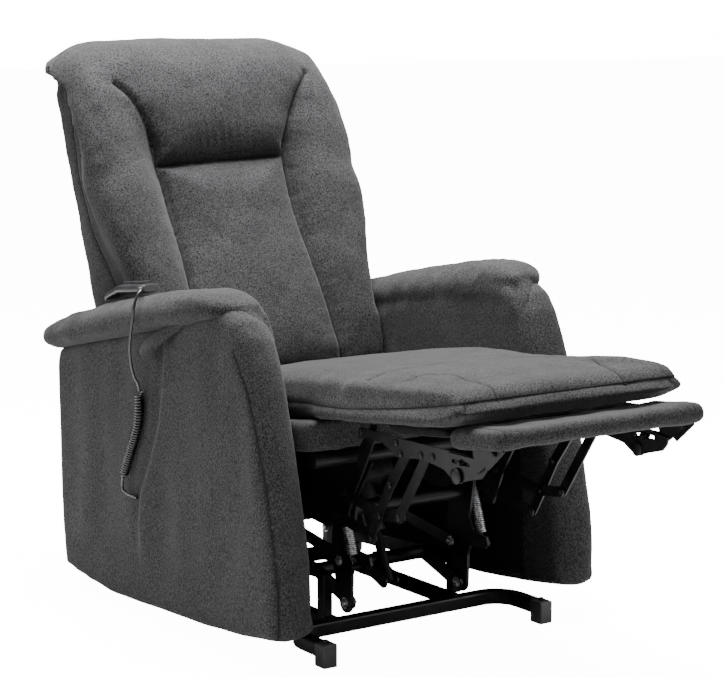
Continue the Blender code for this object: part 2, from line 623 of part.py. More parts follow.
def joint_axes():
    pivot_empty("chair_middle", 0.0, 0.0, None)
    pivot_empty("lift_arm_axis", *ARM_PIVOT)
    pivot_empty("lift_link_axis", *LINK_PIVOT)
    pivot_empty("chassis_axis", *ARM_TIP, "lift_arm_axis")
    pivot_empty("lift_motor_axis", *MOTOR_PIVOT, "chassis_axis")
    pivot_empty("lift_rod_axis", *ROD_END, "lift_motor_axis")
    pivot_empty("recline_rod_axis", *RECLINE_ROD_END, "chassis_axis")
    pivot_empty("legrest_axis", *LEG_PIVOT, "chassis_axis")
    pivot_empty("footboard_axis", *BOARD_REAR, "legrest_axis")
    pivot_empty("upper_rail_axis", *UPPER_REAR, "chassis_axis")
    pivot_empty("lower_rail_axis", *LOWER_REAR, "chassis_axis")
    pivot_empty("inner_diagonal_axis", *UPPER_MIDDLE, "upper_rail_axis")
    pivot_empty("outer_diagonal_axis", *UPPER_FRONT, "upper_rail_axis")
    pivot_empty("back_axis", *BACK_PIVOT, "chassis_axis")
    for name in KEY_DEPTHS:
        centre = key_place(name).translation
        pivot_empty(name + "_axis", centre.y, centre.z, "chassis_axis")


def build():
    clear_scene()
    joint_axes()
    lift_base()
    lift_linkage()
    lift_actuator()
    seat_frame()
    recline_actuator()
    side_panels()
    arm_pads()
    seat()
    legrest()
    footboard()
    legrest_links()
    back()
    handset()
    handset_cord()


build()
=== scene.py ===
"""Looks of the lift recliner chair: upholstery, seams, steelwork details, handset, cord and light.

Places are (x, depth, height) in metres, as in the model: depth is counted from the front corner
of the front feet, and at() turns such a place into the frame's own coordinates.
"""
import json
import math

import bmesh
import bpy
import numpy as np
from mathutils import Matrix, Vector
from mathutils.bvhtree import BVHTree


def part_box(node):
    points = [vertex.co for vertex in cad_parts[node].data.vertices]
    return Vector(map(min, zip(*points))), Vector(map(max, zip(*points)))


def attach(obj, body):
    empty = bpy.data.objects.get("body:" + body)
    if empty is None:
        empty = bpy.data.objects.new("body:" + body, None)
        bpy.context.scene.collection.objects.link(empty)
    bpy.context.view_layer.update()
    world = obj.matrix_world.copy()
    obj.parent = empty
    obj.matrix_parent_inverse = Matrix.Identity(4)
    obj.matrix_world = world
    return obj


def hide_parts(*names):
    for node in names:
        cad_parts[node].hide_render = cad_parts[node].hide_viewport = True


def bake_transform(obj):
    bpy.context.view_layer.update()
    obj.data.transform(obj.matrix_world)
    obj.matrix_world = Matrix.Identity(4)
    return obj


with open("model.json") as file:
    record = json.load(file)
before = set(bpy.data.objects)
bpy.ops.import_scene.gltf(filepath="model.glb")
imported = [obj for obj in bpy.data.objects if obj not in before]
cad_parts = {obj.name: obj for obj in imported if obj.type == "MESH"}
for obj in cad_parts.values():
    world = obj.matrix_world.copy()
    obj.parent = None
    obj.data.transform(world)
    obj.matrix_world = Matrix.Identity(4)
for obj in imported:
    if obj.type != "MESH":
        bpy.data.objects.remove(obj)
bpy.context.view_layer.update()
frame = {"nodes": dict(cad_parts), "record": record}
NODES = frame["nodes"]
DEPTH_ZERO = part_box("foot_front_left")[0].y
SIDES = {"right": -1, "left": 1}
SIM_FRAMES = 20


def at(x, depth, height):
    return Vector((x, depth + DEPTH_ZERO, height))


def many(points):
    """An array of places in the frame from (x, depth, height) rows."""
    return np.array(points, float) + np.array((0.0, DEPTH_ZERO, 0.0))


def spot(x, depth, height):
    return many([(x, depth, height)])[0]


def mirrored(rows, side):
    """The (x, depth, height) rows on one side of the chair, in the frame."""
    return many([(side * x, depth, height) for x, depth, height in rows])


# ---- small formulas --------------------------------------------------------------------------
def smoothstep(low, high, value):
    t = np.clip((value - low) / (high - low), 0, 1)
    return t * t * (3 - 2 * t)


def bell(value, middle, width):
    return np.exp(-((value - middle) / width) ** 2)


def waves(points, length, seed, count=7):
    """Smooth random field of about -1 to 1 with features of a given length."""
    draw = np.random.default_rng(seed)
    total = np.zeros(len(points))
    for _ in range(count):
        way = draw.normal(size=3)
        way *= draw.uniform(0.7, 1.4) * 2 * math.pi / (length * np.linalg.norm(way))
        total += np.sin(points @ way + draw.uniform(0, 2 * math.pi))
    return total / math.sqrt(count)


def round_angles(count):
    return np.arange(count) * 2 * math.pi / count


def headings(points):
    """Unit direction of a route at each of its points."""
    ahead = np.gradient(points, axis=0)
    return ahead / np.linalg.norm(ahead, axis=1)[:, None]


def spread_over(values, count):
    """The values, evened out over a number of places."""
    return np.interp(np.linspace(0, len(values) - 1, count), range(len(values)), values)


def squared(wave, power, half):
    """A sine or cosine made squarer by a power under 1, for the rounded sections of pads and cases."""
    return np.sign(wave) * np.abs(wave) ** power * half


# ---- camera ----------------------------------------------------------------------------------
CAMERA_PLACE = (-2.3992, -3.2358, 1.2113)
CAMERA_AZIMUTH = -34.365
CAMERA_ELEVATION = 8.621
CAMERA_ROLL = -0.177
CAMERA_LENS = 106.87


def make_camera():
    data = bpy.data.cameras.new("photo_view")
    data.sensor_width = 36.0
    data.lens = CAMERA_LENS
    camera = bpy.data.objects.new("photo_view", data)
    bpy.context.scene.collection.objects.link(camera)
    azimuth, elevation, roll = (math.radians(a) for a in (CAMERA_AZIMUTH, CAMERA_ELEVATION, CAMERA_ROLL))
    back = Vector((math.sin(azimuth) * math.cos(elevation), -math.cos(azimuth) * math.cos(elevation),
                   math.sin(elevation)))
    right = (-back).cross(Vector((0, 0, 1))).normalized()
    up = right.cross(-back)
    right, up = (math.cos(roll) * right + math.sin(roll) * up, math.cos(roll) * up - math.sin(roll) * right)
    turn = Matrix((right, up, back)).transposed().to_4x4()
    camera.matrix_world = Matrix.Translation(at(*CAMERA_PLACE)) @ turn
    bpy.context.scene.camera = camera


# ---- meshes from arrays ----------------------------------------------------------------------
def curve_through(points, steps):
    """Points of a smooth curve through the given ones, steps per stretch."""
    points = np.array(points, float)
    result = []
    last = len(points) - 1
    for i in range(last):
        before, start, end, after = (points[j] for j in (max(i - 1, 0), i, i + 1, min(i + 2, last)))
        for t in np.arange(steps) / steps:
            square = 2 * before - 5 * start + 4 * end - after
            cube = 3 * start - before - 3 * end + after
            result.append(0.5 * (2 * start + (end - before) * t + square * t ** 2 + cube * t ** 3))
    result.append(points[last])
    return np.array(result)


def spaced(points, step):
    """The route resampled at even distances."""
    points = np.array(points, float)
    way = np.concatenate(([0.0], np.cumsum(np.linalg.norm(np.diff(points, axis=0), axis=1))))
    count = max(2, int(round(way[-1] / step)) + 1)
    places = np.linspace(0.0, way[-1], count)
    return np.column_stack([np.interp(places, way, points[:, k]) for k in range(3)])


def route_length(points):
    return float(np.linalg.norm(np.diff(np.array(points, float), axis=0), axis=1).sum())


def ringed(rings):
    """Closed body through rings of the same number of points, as (verts, faces)."""
    verts = np.concatenate(rings)
    count = len(rings[0])
    faces = []
    for r in range(len(rings) - 1):
        for i in range(count):
            j = (i + 1) % count
            faces.append((r * count + i, r * count + j, (r + 1) * count + j, (r + 1) * count + i))
    faces.append(tuple(reversed(range(count))))
    faces.append(tuple((len(rings) - 1) * count + i for i in range(count)))
    return verts, faces


ODD_WAY = (0.31, 0.17, 0.94)      # a direction that no part follows, to start a section from


def tube(points, radius, sides=10):
    """Round tube along the points; radius is one number or one for each point."""
    points = np.array(points, float)
    radii = np.broadcast_to(radius, len(points))
    heading = headings(points)
    across = np.cross(heading[0], ODD_WAY)
    rings = []
    angles = round_angles(sides)
    for point, ahead, r in zip(points, heading, radii):
        across = across - ahead * across.dot(ahead)
        across /= np.linalg.norm(across)
        up = np.cross(ahead, across)
        rings.append(point + r * (np.cos(angles)[:, None] * across + np.sin(angles)[:, None] * up))
    return ringed(rings)


def turned(profile, start, direction, sides=20):
    """Body turned from (way, radius) pairs, along direction from start."""
    ahead = np.array(direction, float)
    ahead /= np.linalg.norm(ahead)
    across = np.cross(ahead, ODD_WAY)
    across /= np.linalg.norm(across)
    up = np.cross(ahead, across)
    angles = round_angles(sides)
    circle = np.cos(angles)[:, None] * across + np.sin(angles)[:, None] * up
    return ringed([np.array(start, float) + ahead * way + circle * max(r, 0.0002) for way, r in profile])


def plate(outline, x_low, x_high, edge=0.0006):
    """Flat part from a side outline of (depth, height) points, its rim slightly rounded."""
    outline = np.array(outline, float)
    middle = outline.mean(axis=0)
    span = np.abs(outline - middle).max()
    inner = middle + (outline - middle) * (1 - edge / span)
    rings = []
    for x, line in ((x_low, inner), (x_low + edge, outline), (x_high - edge, outline), (x_high, inner)):
        rings.append(many([(x, depth, height) for depth, height in line]))
    return ringed(rings)


def slotted(outline, holes, x_low, x_high):
    """Flat part from a side outline of (depth, height) points, with holes in it."""
    curve = bpy.data.curves.new("slotted", "CURVE")
    curve.dimensions = "2D"
    curve.fill_mode = "BOTH"
    curve.extrude = (x_high - x_low) / 2
    for line in [outline] + list(holes):
        spline = curve.splines.new("POLY")
        spline.points.add(len(line) - 1)
        for vertex, (depth, height) in zip(spline.points, line):
            vertex.co = (depth, height, 0.0, 1.0)
        spline.use_cyclic_u = True
    flat = bpy.data.objects.new("slotted", curve)
    bpy.context.scene.collection.objects.link(flat)
    graph = bpy.context.evaluated_depsgraph_get()
    mesh = bpy.data.meshes.new_from_object(flat.evaluated_get(graph))
    verts = many([((x_low + x_high) / 2 + v.co.z, v.co.x, v.co.y) for v in mesh.vertices])
    faces = [tuple(p.vertices) for p in mesh.polygons]
    bpy.data.objects.remove(flat)
    bpy.data.meshes.remove(mesh)
    bpy.data.curves.remove(curve)
    return verts, faces


def slot_hole(start, end, radius, steps=8):
    """Slot with round ends from start to end, as (depth, height) points."""
    turn = math.atan2(end[1] - start[1], end[0] - start[0])
    points = []
    for (depth, height), first in ((end, -0.5), (start, 0.5)):
        for i in range(steps + 1):
            angle = turn + math.pi * (i / steps + first)
            points.append((depth + radius * math.cos(angle), height + radius * math.sin(angle)))
    return points


def joined(parts):
    verts, faces, base = [], [], 0
    for part_verts, part_faces in parts:
        verts.append(np.array(part_verts, float))
        faces += [tuple(i + base for i in face) for face in part_faces]
        base += len(part_verts)
    return np.concatenate(verts), faces


def mesh_object(name, verts, faces, sharp=35.0):
    mesh = bpy.data.meshes.new(name)
    mesh.from_pydata([tuple(v) for v in verts], [], [tuple(f) for f in faces])
    mesh.update()
    mesh.shade_smooth()
    if sharp:
        mesh.set_sharp_from_angle(angle=math.radians(sharp))
    obj = bpy.data.objects.new(name, mesh)
    bpy.context.scene.collection.objects.link(obj)
    return obj


def outward(obj):
    """Turn the faces outwards."""
    work = bmesh.new()
    work.from_mesh(obj.data)
    bmesh.ops.recalc_face_normals(work, faces=work.faces)
    work.to_mesh(obj.data)
    work.free()
    return obj


def hard_piece(name, parts, material, body, replaces=(), sharp=35.0):
    """A rigid piece from one or more bodies, riding on a CAD body."""
    obj = outward(mesh_object(name, *joined(parts), sharp))
    obj.data.set_sharp_from_angle(angle=math.radians(sharp))
    return dress(obj, material, body, replaces)


def dress(obj, material, body, replaces=()):
    obj.data.materials.clear()
    obj.data.materials.append(material)
    if body:
        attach(obj, body)
    if replaces:
        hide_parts(*replaces)
    return obj


def verts_of(obj):
    co = np.empty(len(obj.data.vertices) * 3, np.float32)
    obj.data.vertices.foreach_get("co", co)
    return co.reshape(-1, 3).astype(float)


def set_verts(obj, verts):
    obj.data.vertices.foreach_set("co", np.ascontiguousarray(verts, np.float32).ravel())
    obj.data.update()


def normals_of(obj):
    normals = np.empty(len(obj.data.vertices) * 3, np.float32)
    obj.data.vertex_normals.foreach_get("vector", normals)
    return normals.reshape(-1, 3).astype(float)


def pushed(obj, move):
    """Move each vertex along its normal."""
    set_verts(obj, verts_of(obj) + normals_of(obj) * move[:, None])


def edges_of(obj):
    pairs = np.empty(len(obj.data.edges) * 2, np.int32)
    obj.data.edges.foreach_get("vertices", pairs)
    return pairs.reshape(-1, 2)


def smoothed(obj, values, times, factor=0.5, weights=None):
    """Values at the vertices, evened out along the edges."""
    pairs = edges_of(obj)
    count = np.bincount(pairs.ravel(), minlength=len(values))[:, None]
    values = np.array(values, float)
    flat = values.ndim == 1
    if flat:
        values = values[:, None]
    share = factor if weights is None else factor * weights[:, None]
    for _ in range(times):
        total = np.zeros_like(values)
        for k in range(values.shape[1]):
            total[:, k] = (np.bincount(pairs[:, 0], values[pairs[:, 1], k], len(values))
                           + np.bincount(pairs[:, 1], values[pairs[:, 0], k], len(values)))
        values = values + share * (total / count - values)
    return values[:, 0] if flat else values


def with_modifier(obj, kind, **settings):
    """Add a modifier, and put its result into the mesh."""
    modifier = obj.modifiers.new(kind.lower(), kind)
    for key, value in settings.items():
        setattr(modifier, key, value)
    graph = bpy.context.evaluated_depsgraph_get()
    mesh = bpy.data.meshes.new_from_object(obj.evaluated_get(graph))
    old = obj.data
    obj.modifiers.clear()
    obj.data = mesh
    bpy.data.meshes.remove(old)
    mesh.shade_smooth()
    return obj


def solid_of(node):
    """A CAD node's body as (verts, faces)."""
    mesh = NODES[node].data
    return [v.co[:] for v in mesh.vertices], [p.vertices[:] for p in mesh.polygons]


def stuffed(name, solids, voxel, even=3):
    """One closed skin round the solids, its edges rounded."""
    obj = mesh_object(name, *joined(solids), 0)
    with_modifier(obj, "REMESH", mode="VOXEL", voxel_size=voxel)
    set_verts(obj, smoothed(obj, verts_of(obj), even))
    return obj


def side_stack(outline, layers, side, share=1.0):
    """Closed body from a side outline: each (x, inset) layer has the outline drawn in by its inset.

    share scales the inset, for all points or for each.
    """
    outline = np.array(outline, float)
    ahead = np.roll(outline, -1, axis=0) - np.roll(outline, 1, axis=0)
    ahead /= np.linalg.norm(ahead, axis=1)[:, None]
    inward = np.column_stack((-ahead[:, 1], ahead[:, 0]))
    after = np.roll(outline, -1, axis=0)
    if np.sum(outline[:, 0] * after[:, 1] - after[:, 0] * outline[:, 1]) < 0:
        inward = -inward
    rings = []
    for x, inset in layers:
        line = outline + inward * (np.reshape(share, (-1, 1)) * inset)
        rings.append(many([(side * x, depth, height) for depth, height in line]))
    return ringed(rings)


def blob(centre, radii, rows=14, columns=20):
    """Ellipsoid as (verts, faces)."""
    rings = []
    turn = round_angles(columns)
    for tilt in np.linspace(-1.48, 1.48, rows):
        flat = math.cos(tilt)
        ring = np.column_stack((np.full(columns, math.sin(tilt)), flat * np.cos(turn), flat * np.sin(turn)))
        rings.append(spot(*centre) + ring * radii)
    return ringed(rings)


def nearest(points, samples):
    """Distance to the nearest sample, and its number, for each point."""
    distance = np.empty(len(points))
    index = np.empty(len(points), int)
    square = (samples ** 2).sum(axis=1)
    for start in range(0, len(points), 4000):
        block = points[start:start + 4000]
        gap = (block ** 2).sum(axis=1)[:, None] + square - 2 * block @ samples.T
        index[start:start + 4000] = gap.argmin(axis=1)
        distance[start:start + 4000] = np.sqrt(np.maximum(gap.min(axis=1), 0.0))
    return distance, index


def laid_on(obj, route, ways, step=0.003):
    """The route moved onto the surface along the outward ways, and how far each point had to move."""
    mesh = obj.data
    tree = BVHTree.FromPolygons([v.co for v in mesh.vertices], [p.vertices for p in mesh.polygons])
    points = spaced(route, step)
    ways = np.broadcast_to(np.array(ways, float), points.shape)
    found, moved = [], []
    for point, way in zip(points, ways):
        way = Vector(way).normalized()
        hit = tree.ray_cast(Vector(point) + way * 0.25, -way, 0.45)
        if hit[0] is not None:
            found.append(hit[0][:])
            moved.append((hit[0] - Vector(point)).dot(way))
    return np.array(found), np.array(moved)


PUCKER_LENGTHS = (0.021, 0.034, 0.055)
SEAM_SNAP = 0.55        # of an edge: vertices this near a seam are put on it


def sewn(obj, seams, depth, width, pillow, reach, pucker, seed):
    """Draw the skin in along the seams, and mark them in the 'seam' attribute, which paints shade into the
    grooves.

    depth and width are those of the groove, pillow and reach those of the slope beside it.
    """
    verts = verts_of(obj)
    normals = normals_of(obj)
    samples = np.concatenate(seams)
    ends = np.cumsum([len(s) for s in seams])
    distance, index = nearest(verts, samples)
    pairs = edges_of(obj)
    edge = float(np.median(np.linalg.norm(verts[pairs[:, 0]] - verts[pairs[:, 1]], axis=1)))
    near = distance < edge * SEAM_SNAP
    gap = samples[index[near]] - verts[near]
    along_normal = (gap * normals[near]).sum(axis=1)[:, None] * normals[near]
    verts[near] += gap - along_normal
    distance = np.where(near, 0.0, distance)
    phase = (index + 97.0 * np.searchsorted(ends, index, side="right")) * 0.003
    draw = np.random.default_rng(seed)
    ripple = np.zeros(len(verts))
    for length in PUCKER_LENGTHS:
        ripple += np.sin(2 * math.pi * phase / length + draw.uniform(0, 6) + waves(verts, 0.12, seed + 5))
    slope = np.exp(-distance / reach)
    move = -depth * bell(distance, 0, width) - pillow * slope
    move += pucker * ripple / 1.7 * slope * (1 - bell(distance, 0, 0.006))
    verts += normals * move[:, None]
    set_verts(obj, verts)
    # painted shade: the fabric turns near black along each seam groove through this 'seam' attribute
    mark(obj, "seam", bell(distance, 0, SEAM_SNAP * edge))


def stitched(obj, rows, paint, radius=0.0008):
    """Thread lines along the seams, as part of the same mesh; rows are (route, outward ways)."""
    obj.data.materials.append(paint)
    work = bmesh.new()
    work.from_mesh(obj.data)
    bodies = []
    for route, ways in rows:
        points, _ = laid_on(obj, route, ways, 0.006)
        if len(points) > 3:
            points[1:-1] = (points[:-2] + 2 * points[1:-1] + points[2:]) / 4
            bodies.append(tube(points, radius, 6))
    for verts, faces in bodies:
        made = [work.verts.new(v) for v in verts]
        for face in faces:
            work.faces.new([made[i] for i in face]).material_index = len(obj.data.materials) - 1
    for face in work.faces:
        face.smooth = True
    work.to_mesh(obj.data)
    work.free()


def mark(obj, name, values):
    """Raise the vertex attribute to the values where they are higher."""
    attribute = obj.data.attributes.get(name)
    if attribute is None:
        attribute = obj.data.attributes.new(name, "FLOAT", "POINT")
    else:
        old = np.empty(len(values), np.float32)
        attribute.data.foreach_get("value", old)
        values = np.maximum(old, values)
    attribute.data.foreach_set("value", np.ascontiguousarray(values, np.float32))


CLOTH_STIFFNESS = 15.0


def puffed(obj, held, pressure, cap):
    """Let the skin swell by cloth simulation; held is 1 where it stays put, cap is the furthest move."""
    rest = verts_of(obj)
    group = obj.vertex_groups.new(name="held")
    levels = np.clip(np.round(held * 20) / 20, 0, 1)
    for level in np.unique(levels):
        if level > 0:
            group.add(np.flatnonzero(levels == level).tolist(), float(level), "REPLACE")
    cloth = obj.modifiers.new("cloth", "CLOTH")
    settings = cloth.settings
    settings.quality = 4
    settings.mass = 0.3
    settings.tension_stiffness = CLOTH_STIFFNESS
    settings.compression_stiffness = CLOTH_STIFFNESS
    settings.shear_stiffness = 5.0
    settings.bending_stiffness = 0.6
    settings.use_pressure = True
    settings.uniform_pressure_force = pressure
    settings.effector_weights.gravity = 0.0
    settings.vertex_group_mass = "held"
    cloth.collision_settings.use_collision = False
    cloth.point_cache.frame_start = 1
    cloth.point_cache.frame_end = SIM_FRAMES
    scene = bpy.context.scene
    for number in range(1, SIM_FRAMES + 1):
        scene.frame_set(number)
    graph = bpy.context.evaluated_depsgraph_get()
    swollen = np.empty(len(rest) * 3, np.float32)
    obj.evaluated_get(graph).data.vertices.foreach_get("co", swollen)
    obj.modifiers.clear()
    obj.vertex_groups.clear()
    scene.frame_set(1)
    move = swollen.reshape(-1, 3).astype(float) - rest
    size = np.linalg.norm(move, axis=1)
    move *= (cap * np.tanh(size / cap) / np.maximum(size, 1e-9))[:, None]
    set_verts(obj, rest + smoothed(obj, move, 2))


# ---- materials -------------------------------------------------------------------------------
def add(tree, kind, inputs=None, **settings):
    made = tree.nodes.new(kind)
    for key, value in settings.items():
        setattr(made, key, value)
    for key, value in (inputs or {}).items():
        if isinstance(value, bpy.types.NodeSocket):
            tree.links.new(value, made.inputs[key])
        else:
            made.inputs[key].default_value = value
    return made


class Paint:
    """A Principled material, built from noise, maths and bumps in object space."""

    def __init__(self, name, **sockets):
        self.material = bpy.data.materials.new(name)
        self.material.use_nodes = True
        self.tree = self.material.node_tree
        self.shader = self.tree.nodes["Principled BSDF"]
        self.place = add(self.tree, "ShaderNodeTexCoord").outputs["Object"]
        for key, value in sockets.items():
            self.shader.inputs[key.replace("_", " ")].default_value = value

    def noise(self, scale, detail=2.0, stretch=(1, 1, 1)):
        place = add(self.tree, "ShaderNodeMapping", {"Vector": self.place, "Scale": stretch}).outputs[0]
        inputs = {"Vector": place, "Scale": scale, "Detail": detail}
        return add(self.tree, "ShaderNodeTexNoise", inputs).outputs["Fac"]

    def spread(self, value, low, high, to_low=0.0, to_high=1.0):
        return add(self.tree, "ShaderNodeMapRange", {"Value": value, "From Min": low, "From Max": high,
                                                     "To Min": to_low, "To Max": to_high}).outputs[0]

    def maths(self, operation, a, b):
        made = add(self.tree, "ShaderNodeMath", operation=operation)
        for socket, value in zip(made.inputs, (a, b)):
            if isinstance(value, bpy.types.NodeSocket):
                self.tree.links.new(value, socket)
            else:
                socket.default_value = value
        return made.outputs[0]

    def mix(self, factor, a, b):
        made = add(self.tree, "ShaderNodeMix", {"Factor": factor}, data_type="RGBA")
        for socket, value in ((made.inputs[6], a), (made.inputs[7], b)):
            if isinstance(value, bpy.types.NodeSocket):
                self.tree.links.new(value, socket)
            else:
                socket.default_value = (*value, 1.0)
        return made.outputs[2]

    def link(self, output, socket):
        self.tree.links.new(output, self.shader.inputs[socket])

    def bump(self, height, distance, strength=1.0, before=None):
        inputs = {"Height": height, "Distance": distance, "Strength": strength}
        if before:
            inputs["Normal"] = before
        return add(self.tree, "ShaderNodeBump", inputs).outputs[0]


def fabric(name, dark, light, fleck):
    """Charcoal melange weave: pale and dark yarns, slight slubs, a soft nap and worn-in tone, and painted
    shade where the 'seam' attribute is set.
    """
    paint = Paint(name, Roughness=0.93, Sheen_Weight=0.09, Sheen_Roughness=0.40, Specular_IOR_Level=0.13)
    yarn = paint.noise(340, 3.0)
    slub = paint.noise(420, 1.0, (1.0, 1.0, 0.5))
    cross = paint.noise(900, 1.0)
    patch = paint.noise(14, 3.0)
    blend = paint.maths("ADD", paint.maths("MULTIPLY", yarn, 0.6), paint.maths("MULTIPLY", slub, 0.4))
    tone = paint.mix(paint.spread(blend, 0.38, 0.62), dark, light)
    speck = paint.spread(cross, 0.60, 0.74)
    tone = paint.mix(paint.maths("MULTIPLY", speck, 0.45), tone, fleck)
    tone = paint.mix(paint.spread(patch, 0.3, 0.7, 0.0, 0.22), tone, dark)
    # painted shade: the 'seam' attribute darkens the cloth to near black in seam grooves, pleat troughs and
    # the hem's groove
    seam = add(paint.tree, "ShaderNodeAttribute", attribute_name="seam", attribute_type="GEOMETRY")
    tone = paint.mix(paint.maths("MULTIPLY", seam.outputs["Fac"], 0.80), tone, (0.006, 0.006, 0.007))
    paint.link(tone, "Base Color")
    nap = paint.bump(patch, 0.0012, 0.35)
    weave = paint.maths("ADD", paint.maths("MULTIPLY", blend, 0.7), paint.maths("MULTIPLY", cross, 0.5))
    paint.link(paint.bump(weave, 0.0007, 0.45, nap), "Normal")
    return paint.material


def coated(name, colour, roughness, grain, coat=0.0, specular=0.5):
    """Powder coat or moulded plastic: fine orange peel, slight dust and uneven gloss."""
    paint = Paint(name, Coat_Weight=coat, Coat_Roughness=0.25, Specular_IOR_Level=specular)
    dust = paint.noise(22, 4.0)
    peel = paint.noise(grain, 1.5)
    pale = tuple(min(1.0, c * 1.55 + 0.004) for c in colour)
    paint.link(paint.mix(paint.spread(dust, 0.42, 0.72), colour, pale), "Base Color")
    paint.link(paint.spread(dust, 0.3, 0.7, roughness - 0.06, roughness + 0.10), "Roughness")
    paint.link(paint.bump(peel, 0.0003, 0.35), "Normal")
    return paint.material


def zinc(name):
    """Bright zinc plating: faint spangle, fine scratches and dull patches."""
    paint = Paint(name, Metallic=1.0)
    spangle = paint.noise(160, 3.0)
    scratch = paint.noise(900, 1.0, (1.0, 1.0, 0.15))
    tone = paint.mix(paint.spread(spangle, 0.35, 0.65), (0.50, 0.50, 0.51), (0.74, 0.74, 0.75))
    paint.link(tone, "Base Color")
    paint.link(paint.spread(spangle, 0.3, 0.7, 0.22, 0.40), "Roughness")
    paint.link(paint.bump(scratch, 0.0002, 0.3), "Normal")
    return paint.material


def make_paints():
    return {
        "fabric": fabric("charcoal_melange", (0.006, 0.006, 0.0065), (0.055, 0.055, 0.0565),
                         (0.165, 0.165, 0.168)),
        "lining": fabric("black_lining", (0.004, 0.004, 0.004), (0.010, 0.010, 0.011),
                         (0.016, 0.016, 0.017)),
        "steel": coated("black_powder_coat", (0.0026, 0.0026, 0.0029), 0.38, 700, specular=0.24),
        "plastic": coated("black_moulded_plastic", (0.016, 0.016, 0.017), 0.44, 1500),
        "grey": coated("grey_moulded_plastic", (0.012, 0.012, 0.013), 0.28, 1700, coat=0.30),
        "cord": coated("cord_jacket", (0.0035, 0.0035, 0.004), 0.26, 1200, coat=0.4),
        "zinc": zinc("bright_zinc"),
        "thread": coated("black_thread", (0.006, 0.006, 0.0065), 0.8, 2500, specular=0.15),
    }


# ---- cord ------------------------------------------------------------------------------------
CORD_R = 0.00275
CURL_R = 0.0100
CURL_TURNS = 32
CURL_STEPS = 18
LEAD_ROUTE = [
    (-0.3772, 0.4970, 0.6702), (-0.3825, 0.4830, 0.6745), (-0.3890, 0.4680, 0.6760),
    (-0.3968, 0.4570, 0.6765), (-0.4055, 0.4515, 0.6725), (-0.4135, 0.4490, 0.6630),
    (-0.4187, 0.4488, 0.6470), (-0.4200, 0.4530, 0.6210), (-0.4200, 0.4625, 0.5900),
    (-0.4185, 0.4700, 0.5570), (-0.4145, 0.4720, 0.5260), (-0.4090, 0.4705, 0.5020),
    (-0.4030, 0.4698, 0.4910), (-0.3998, 0.4708, 0.4812)]
CURL_ROUTE = [(-0.3990, 0.4712, 0.4792), (-0.3990, 0.4715, 0.4360), (-0.3990, 0.4825, 0.3950),
              (-0.3990, 0.5085, 0.3500), (-0.3990, 0.5355, 0.3050), (-0.3990, 0.5455, 0.2830)]
TAIL_ROUTE = [(-0.3990, 0.5460, 0.2819), (-0.3990, 0.5500, 0.2720), (-0.3980, 0.5480, 0.2600),
              (-0.3960, 0.5380, 0.2540), (-0.3935, 0.5240, 0.2515), (-0.3910, 0.5120, 0.2505),
              (-0.3905, 0.5040, 0.2500)]


CURL_EASE = 0.014       # length at each end over which the helix opens out


def curly(route):
    """Helix round the route, eased in from the route's line at both ends over half a turn."""
    line = spaced(curve_through(route, 8), 0.001)
    length = route_length(line)
    turns = np.arange(-0.5, CURL_TURNS + 0.5 + 1e-9, 1 / CURL_STEPS)
    before, after = np.clip(-turns * 2, 0, 1), np.clip((turns - CURL_TURNS) * 2, 0, 1)
    way = np.clip(turns, 0, CURL_TURNS) / CURL_TURNS * (length - 2 * CURL_EASE)
    way += CURL_EASE * (1 + after - before)
    place = way / length * (len(line) - 1)
    centre = np.column_stack([np.interp(place, np.arange(len(line)), line[:, k]) for k in range(3)])
    ahead = headings(centre)
    across = np.cross(ahead, (1.0, 0.0, 0.0))
    across /= np.linalg.norm(across, axis=1)[:, None]
    up = np.cross(ahead, across)
    radius = (CURL_R - CORD_R) * smoothstep(0, 1, 1 - before) * smoothstep(0, 1, 1 - after)
    angle = 2 * math.pi * turns
    return centre + radius[:, None] * (np.cos(angle)[:, None] * across + np.sin(angle)[:, None] * up)


def make_cord(paints):
    """The handset's curly cord, from the strain relief to the slit in the side panel."""
    lead, tail = curve_through(LEAD_ROUTE, 3), curve_through(TAIL_ROUTE, 3)
    points = many(np.concatenate((lead[:-1], curly(CURL_ROUTE), tail[1:])))
    curve = bpy.data.curves.new("handset_cord", "CURVE")
    curve.dimensions = "3D"
    curve.bevel_depth = CORD_R
    curve.bevel_resolution = 3
    curve.use_fill_caps = True
    spline = curve.splines.new("POLY")
    spline.points.add(len(points) - 1)
    for vertex, point in zip(spline.points, points):
        vertex.co = (*point, 1.0)
    spline.use_smooth = True
    obj = bpy.data.objects.new("handset_cord", curve)
    bpy.context.scene.collection.objects.link(obj)
    dress(obj, paints["cord"], "chassis",
          ("handset_cord_lead", "handset_cord_curl", "handset_cord_tail"))


# ---- back ------------------------------------------------------------------------------------
FACE_OUT = np.array((0.0, -0.93, 0.37))      # the way that the back's front faces
FACE_OUT /= np.linalg.norm(FACE_OUT)
SIDE_SEAM = [(0.251, 0.876, 1.076), (0.213, 0.855, 1.030), (0.186, 0.842, 0.980), (0.168, 0.825, 0.930),
             (0.161, 0.813, 0.889), (0.155, 0.765, 0.790), (0.158, 0.700, 0.690), (0.166, 0.640, 0.580),
             (0.171, 0.590, 0.470)]
LOWER_SEAM_TOP = (0.240, 0.870, 1.058)       # the seam on the handset's side starts a little lower
HEAD_SEAM = [(-0.161, 0.813, 0.889), (0.0, 0.817, 0.896), (0.161, 0.816, 0.899)]
HEAD_SEAM_HEIGHT = 0.889
BOXING_SEAM = [(0.290, 0.978, 1.055), (0.290, 0.956, 0.930), (0.290, 0.930, 0.836), (0.290, 0.868, 0.732),
               (0.290, 0.778, 0.640), (0.290, 0.725, 0.560)]
